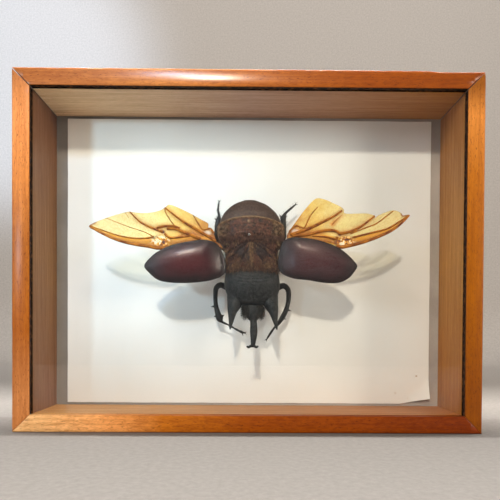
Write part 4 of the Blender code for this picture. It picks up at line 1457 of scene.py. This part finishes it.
LEGS = {
    "front_leg_left": (
        [(-11.8, 27.2, 82, 1.8), (-16.4, 27.6, 84.2, 1.8), (-19.4, 28.8, 82.4, 1.6),
        (-20, 29.6, 77.4, 1.35), (-19.6, 30.2, 71.8, 1.4), (-18.4, 30.8, 67, 1.8),
        (-17.2, 31.2, 63.8, 2.1), (-15.8, 31.6, 62, 0.8), (-11.6, 32, 60, 0.55),
        (-7, 32.4, 57.4, 0.6), (-3.6, 32.8, 55.8, 0.75), (-1.4, 33, 55.4, 0.25)],
        [(-19.8, 30, 71.6, 0.9, -22.8, 30, 71.1), (-18.4, 30.8, 65.8, 0.9, -21, 30.8, 65.2),
        (-16.8, 31, 65, 1.3, -14.6, 31, 66.4), (-3.8, 32.8, 55.9, 0.5, -3, 32.8, 53.4)],
        7,
    ),
    "front_leg_right": (
        [(16.6, 27.2, 82, 1.8), (21, 27.6, 84, 1.8), (24, 28.8, 81.8, 1.6), (24.6, 29.6, 77.2, 1.5),
        (24, 30.2, 72.6, 1.35), (22.8, 30.8, 68.6, 1.5), (20.6, 31.2, 64.4, 1.5),
        (18.2, 31.6, 60.8, 1), (16.2, 32, 58.8, 0.6), (13.6, 32.4, 55, 0.75),
        (11.1, 32.8, 50.9, 0.35)],
        [(23.2, 30.4, 69.8, 0.9, 26.4, 30.4, 68.9), (20.8, 31, 65.4, 0.9, 23.2, 31, 63.6)],
        8,
    ),
    "middle_leg_left": (
        [(-5, 33.2, 97.6, 1.7), (-16, 32.8, 95.6, 1.8), (-25, 33, 94, 1.6),
        (-29.6, 33.6, 96.2, 1.3), (-33.6, 34.6, 99.6, 1.5), (-37.6, 36, 102.2, 1.5),
        (-39.2, 36.6, 102.6, 0.7), (-44, 37.4, 103, 0.6), (-49, 38.2, 101.6, 0.4)],
        [(-34, 34.8, 99.8, 0.8, -35.6, 34.8, 97)],
        6,
    ),
    "middle_leg_right": (
        [(8.4, 33.2, 97.6, 1.7), (19, 32.8, 95.6, 1.8), (28, 33, 94.6, 1.6),
        (32.6, 33.6, 96.8, 1.3), (36.6, 34.6, 100, 1.5), (40.6, 36, 102.6, 1.5),
        (42.2, 36.6, 103, 0.7), (47, 37.4, 103.2, 0.6), (52, 38.2, 101.8, 0.4)],
        [(37, 34.8, 100.2, 0.8, 38.6, 34.8, 97.4)],
        6,
    ),
    "hind_leg_left": (
        [(-5, 33.4, 103.4, 1.8), (-14.4, 32.8, 107, 1.9), (-19.6, 31.2, 112.4, 1.4),
        (-19.4, 30.2, 117, 1.5), (-18.8, 29.8, 121.4, 1.7), (-18.2, 29.8, 124.4, 1.5),
        (-18, 30, 126.6, 0.8), (-18.7, 30.6, 130.6, 0.65), (-18, 31.2, 135.8, 0.3)],
        [(-18.8, 29.8, 123, 0.8, -20.8, 29.8, 125), (-18.4, 30.6, 131, 0.4, -19.7, 30.6, 129.4)],
        6,
    ),
    "hind_leg_right": (
        [(8.2, 33.4, 103.4, 1.8), (16.6, 32.8, 107, 1.9), (21.2, 31.2, 112.8, 1.4),
        (21.3, 30.2, 117, 1.5), (21, 29.8, 121.6, 1.8), (21, 29.8, 125.2, 1.7),
        (22.2, 30, 128, 0.8), (25.6, 30.6, 131.3, 0.7), (28.9, 31.2, 134.2, 0.3)],
        [(20.4, 29.8, 124.2, 0.8, 18.6, 29.8, 127.6), (21.8, 29.8, 124.2, 0.7, 23.2, 29.8, 127)],
        6,
    ),
}


def build_leg(name, path, spurs, tarsus, material):
    """A leg with the spurs of its tibia, the beads of its tarsus and two claws."""
    points = []
    smooth = smooth_path(path, LEG_STEPS)
    start = tarsus * LEG_STEPS
    for i, (x, depth, z, radius) in enumerate(smooth):
        if i > start:
            bead = (i - start) / (len(smooth) - 1 - start) * 5
            radius *= 0.78 + 0.5 * abs(math.sin(bead * math.pi)) * (0.5 + 0.5 * (bead % 1.0))
        points.append((x, depth, z, max(radius, 0.2)))
    pieces = [tube("leg_bar", points, 4)]
    for x, depth, z, radius, tip_x, tip_depth, tip_z in spurs:
        course = [(x, depth, z, radius), ((x + tip_x) / 2, depth, (z + tip_z) / 2, radius * 0.6),
                  (tip_x, tip_depth, tip_z, 0.14)]
        pieces.append(tube("spur", course, 3))
    x, depth, z, _ = path[-1]
    before = path[-2]
    ahead = Vector((x - before[0], z - before[2])).normalized()
    for side in (-1, 1):
        across = Vector((-ahead.y, ahead.x)) * side
        bent = [
            (x - ahead.x * 0.5, depth, z - ahead.y * 0.5, 0.28),
            (x + across.x * 0.6, depth, z + across.y * 0.6, 0.2),
            (x + across.x * 0.8 + ahead.x * 0.7, depth + 0.2, z + across.y * 0.8 + ahead.y * 0.7,
             0.13),
        ]
        pieces.append(tube("claw", bent, 2))
    leg = fuse(pieces, name + "_jointed", 0.17, 2)
    return hand_over(smooth_shade(leg), [material], "black_chitin", name)


# Hairs

def hair_piece(seed, name, body, count, chance, length, radius, lean, material, slot):
    """Fine curved hairs, one mesh, rooted on a body's faces where chance lets them grow.
    lean is the way they are combed, in millimetres across, deep and up."""
    pick_one = random.Random(seed)
    mesh = body.data
    mesh.calc_loop_triangles()
    corners = [vert.co.copy() for vert in mesh.vertices]
    triangles = []
    reach = 0.0
    totals = []
    for triangle in mesh.loop_triangles:
        a, b, c = (corners[i] for i in triangle.vertices)
        x, depth, z = millimetres((a + b + c) / 3)
        weight = chance(x, depth, z) * triangle.area
        if weight > 0:
            reach += weight
            totals.append(reach)
            triangles.append((a, b, c, triangle.normal.copy()))
    verts = []
    faces = []
    for _ in range(count):
        a, b, c, normal = pick_one.choices(triangles, cum_weights=totals)[0]
        u = pick_one.random()
        v = pick_one.random()
        if u + v > 1:
            u = 1 - u
            v = 1 - v
        root = a + (b - a) * u + (c - a) * v
        way = normal + Vector(lean)
        way += Vector([pick_one.uniform(-0.45, 0.45) for _ in range(3)])
        way.normalize()
        bend = Vector(lean) * 0.35
        size = length * pick_one.uniform(0.6, 1.25) * MM
        thick = radius * pick_one.uniform(0.7, 1.2) * MM
        side = way.cross(Vector((0.3, 0.9, 0.2))).normalized()
        other = way.cross(side)
        first = len(verts)
        for share, girth in ((-0.08, 1.0), (0.55, 0.75)):
            middle = root + (way * share + bend * share * share) * size
            for k in range(3):
                angle = 2 * math.pi * k / 3
                around = side * math.cos(angle) + other * math.sin(angle)
                verts.append(middle + around * thick * girth)
        verts.append(root + (way + bend) * size)
        for k in range(3):
            j = (k + 1) % 3
            faces.append((first + k, first + j, first + 3 + j, first + 3 + k))
            faces.append((first + 3 + k, first + 3 + j, first + 6))
        faces.append((first + 2, first + 1, first))
    hairs = new_mesh(name, verts, faces)
    turn_outward(hairs)
    return hand_over(smooth_shade(hairs), [material], slot)


def build_hairs(abdomen, thorax, head, hind_legs):
    golden = hair_material("golden_hair", (0.14, 0.060, 0.022), (0.50, 0.30, 0.14))
    russet = hair_material("russet_hair", (0.012, 0.004, 0.0025), (0.145, 0.055, 0.031))
    dusky = hair_material("dusky_hair", (0.006, 0.0045, 0.003), (0.070, 0.050, 0.030))
    rust = hair_material("rust_hair", (0.030, 0.010, 0.006), (0.25, 0.105, 0.060))

    def front(depth):
        return clamp((BODY_MIDDLE - depth) / 1.5)

    def fringe(x, depth, z):
        above = z - border_z(x - axis_x(z))
        return hump(above + 0.2, 0.3) * front(depth)

    def flanks(x, depth, z):
        across = abs(x - axis_x(z))
        below = border_z(across) - z
        return clamp((across - 11.5) / 2) * clamp(below) * clamp((BODY_MIDDLE + 2 - depth) / 1.5)

    def waist(x, depth, z):
        return clamp((113.0 - z) / 3.0) * front(depth)

    def gold_parts(x, depth, z):
        bulge, gold, furrow = thorax_fields(x, z)
        return (0.01 + gold**2) * (1 - 0.9 * bulge) * (1 - furrow) * front(depth)

    def dark_parts(x, depth, z):
        bulge, _, furrow = thorax_fields(x, z)
        return (1 - 0.85 * bulge) * (1 - furrow) * clamp((101.0 - z) / 4.0, 0.3, 1.0) * front(depth)

    def hem(x, depth, z):
        return clamp((94.0 - z) / 2.0) * front(depth)

    def brow(x, depth, z):
        aside = clamp((abs(x - HEAD_X) - 1.8) / 1.0)
        return clamp((z - 64.0) / 1.5) * aside * clamp((20.0 - depth) / 1.5)

    def shin(x, depth, z):
        return clamp((z - 113.0) / 3.0)

    table = [
        # name, body, how many, where, length, radius, way they lie, material
        ("abdomen_fringe", abdomen, 900, fringe, 0.7, 0.035, (0.0, 0.0, -1.4), golden),
        ("flank_hair", abdomen, 1500, flanks, 1.2, 0.055, (0.0, 0.0, 0.5), golden),
        ("waist_hair", abdomen, 2800, waist, 2.2, 0.055, (0.0, -0.3, -1.2), rust),
        ("thorax_gold_hair", thorax, 1100, gold_parts, 1.5, 0.07, (0.0, -0.1, -1.0), golden),
        ("thorax_russet_hair", thorax, 2600, dark_parts, 1.5, 0.055, (0.0, -0.1, -0.9), russet),
        ("hem_gold_hair", thorax, 500, hem, 2.6, 0.06, (0.0, -0.6, -1.2), golden),
        ("hem_russet_hair", thorax, 2200, hem, 2.6, 0.06, (0.0, -0.6, -1.2), russet),
        ("head_hair", head, 1500, brow, 2.3, 0.045, (0.0, -0.3, -0.9), dusky),
        ("hind_leg_bristles_left", hind_legs[0], 130, shin, 1.3, 0.06, (0.0, 0.0, 0.9), dusky),
        ("hind_leg_bristles_right", hind_legs[1], 130, shin, 1.3, 0.06, (0.0, 0.0, 0.9), dusky),
    ]
    for seed, row in enumerate(table, FIRST_HAIR_SEED):
        hair_piece(seed, *row, "black_chitin" if row[-1] is dusky else "brown_chitin")


# Stage, lights and camera

def build_stage():
    """A pale floor that turns up into a pale wall behind the frame."""
    wide = 3200.0
    front = -575.0
    back = 640.0
    tall = 1500.0
    cove = 110.0
    bpy.ops.mesh.primitive_plane_add(size=1.0, location=(0.0, (front + back) / 2 * MM, 0.0))
    floor = new_piece("pale_floor")
    floor.scale = (wide * MM, (back - front) * MM, 1.0)
    apply_place(floor)
    edit(floor, "EDGE")
    select_edges(floor, lambda a, b: a.y > back - 1 and b.y > back - 1)
    extrude((0.0, 0.0, tall))
    select_edges(floor, lambda a, b: a.y > back - 1 and b.y > back - 1 and a.z < 1 and b.z < 1)
    bpy.ops.mesh.bevel(offset=cove * MM, segments=16, affect="EDGES")
    leave_edit()
    face_way(floor, UP)
    smooth_shade(floor)
    floor.data.materials.append(stage_material())


def area_light(name, location, target, width, height, power, colour, spread=180.0):
    data = bpy.data.lights.new(name, "AREA")
    data.spread = math.radians(spread)
    data.shape = "RECTANGLE"
    data.size = width * MM
    data.size_y = height * MM
    data.energy = power
    data.color = colour
    aim_light(name, data, location, target)


def spot_light(name, location, target, cone, power, colour):
    data = bpy.data.lights.new(name, "SPOT")
    data.spot_size = math.radians(cone)
    data.spot_blend = 0.7
    data.shadow_soft_size = 60.0 * MM
    data.energy = power
    data.color = colour
    aim_light(name, data, location, target)


def aim_light(name, data, location, target):
    lamp = link(name, data)
    lamp.location = Vector(location) * MM
    aim = Vector(target) * MM - lamp.location
    lamp.rotation_euler = aim.to_track_quat("-Z", "Y").to_euler()


def build_lights():
    """A small key lamp, soft lamps that the glass doesn't mirror, cool patches at the left, and a
    lamp for the wall behind."""
    middle = (0.0, 10.0, 100.0)
    area_light("ceiling_lamp", (-90.0, -964.0, 690.0), middle, 70.0, 70.0, 6.6, (1.0, 0.88, 0.72))
    area_light("window", (-1300.0, -900.0, 500.0), middle, 400.0, 400.0, 6.1, (0.85, 0.93, 1.0))
    area_light("warm_fill", (1300.0, -900.0, 400.0), middle, 400.0, 400.0, 11.6, (1.0, 0.90, 0.77))
    area_light("overhead", (0.0, 16.0, 1100.0), (0.0, -320.0, 0.0), 1000.0, 20.0, 6.0,
               (1.0, 0.97, 0.92), 60.0)
    spot_light("cool_patch", (-200.0, -1000.0, 800.0), (-95.0, 17.0, 116.0), 10.5, 22.0,
               (0.42, 0.68, 1.0))
    spot_light("low_cool_patch", (-670.0, -1000.0, 260.0), (-90.0, 17.0, 135.0), 11.5, 23.0,
               (0.55, 0.82, 1.0))
    spot_light("wall_patch", (-620.0, -1000.0, 600.0), (-450.0, 640.0, 540.0), 22.0, 112.0,
               (0.62, 0.78, 1.0))
    area_light("wall_wash", (0.0, 260.0, 1300.0), (0.0, 640.0, 480.0), 1400.0, 100.0, 1.4,
               (1.0, 0.95, 0.90), 70.0)
    world = bpy.data.worlds.new("soft_room")
    world.use_nodes = True
    background = world.node_tree.nodes["Background"]
    background.inputs["Color"].default_value = (0.94, 0.97, 1.0, 1.0)
    background.inputs["Strength"].default_value = 0.17
    bpy.context.scene.world = world
    bpy.context.scene.view_settings.view_transform = "Standard"


def build_camera():
    data = bpy.data.cameras.new("photo_camera")
    data.lens = 36.0
    data.sensor_width = 36.0
    data.shift_y = 0.1787
    data.clip_start = 0.01
    camera = link("photo_camera", data)
    camera.location = Vector((-0.955, -299.38, 55.61)) * MM
    camera.rotation_euler = Euler(tuple(math.radians(a) for a in (89.226, -0.330, -0.403)))
    bpy.context.scene.camera = camera


def main():
    build_camera()
    build_lights()
    build_stage()
    build_frame()
    dress_flat_pieces()
    build_sheet()
    build_pin()
    black = black_material("black_cuticle", (0.004, 0.004, 0.004), (0.027, 0.026, 0.0245),
                           0.6, 1.4, 0.3, 0.16)
    leg_black = black_material("leg_cuticle", (0.005, 0.005, 0.005), (0.015, 0.0145, 0.0142),
                               0.5, 1.6, 0.06, 0.3)
    abdomen = build_abdomen()
    thorax = build_thorax()
    build_pronotum(black)
    head = build_head(black)
    case = elytron_material()
    for label, outline in (("left", ELYTRON_LEFT), ("right", ELYTRON_RIGHT)):
        build_elytron(label, outline, case)
    skin = membrane_material()
    vein_skin = vein_material()
    for wing in WINGS:
        build_wing(*wing, skin, vein_skin)
    legs = {name: build_leg(name, *shape, leg_black) for name, shape in LEGS.items()}
    build_hairs(abdomen, thorax, head, [legs["hind_leg_left"], legs["hind_leg_right"]])
    deselect()


main()
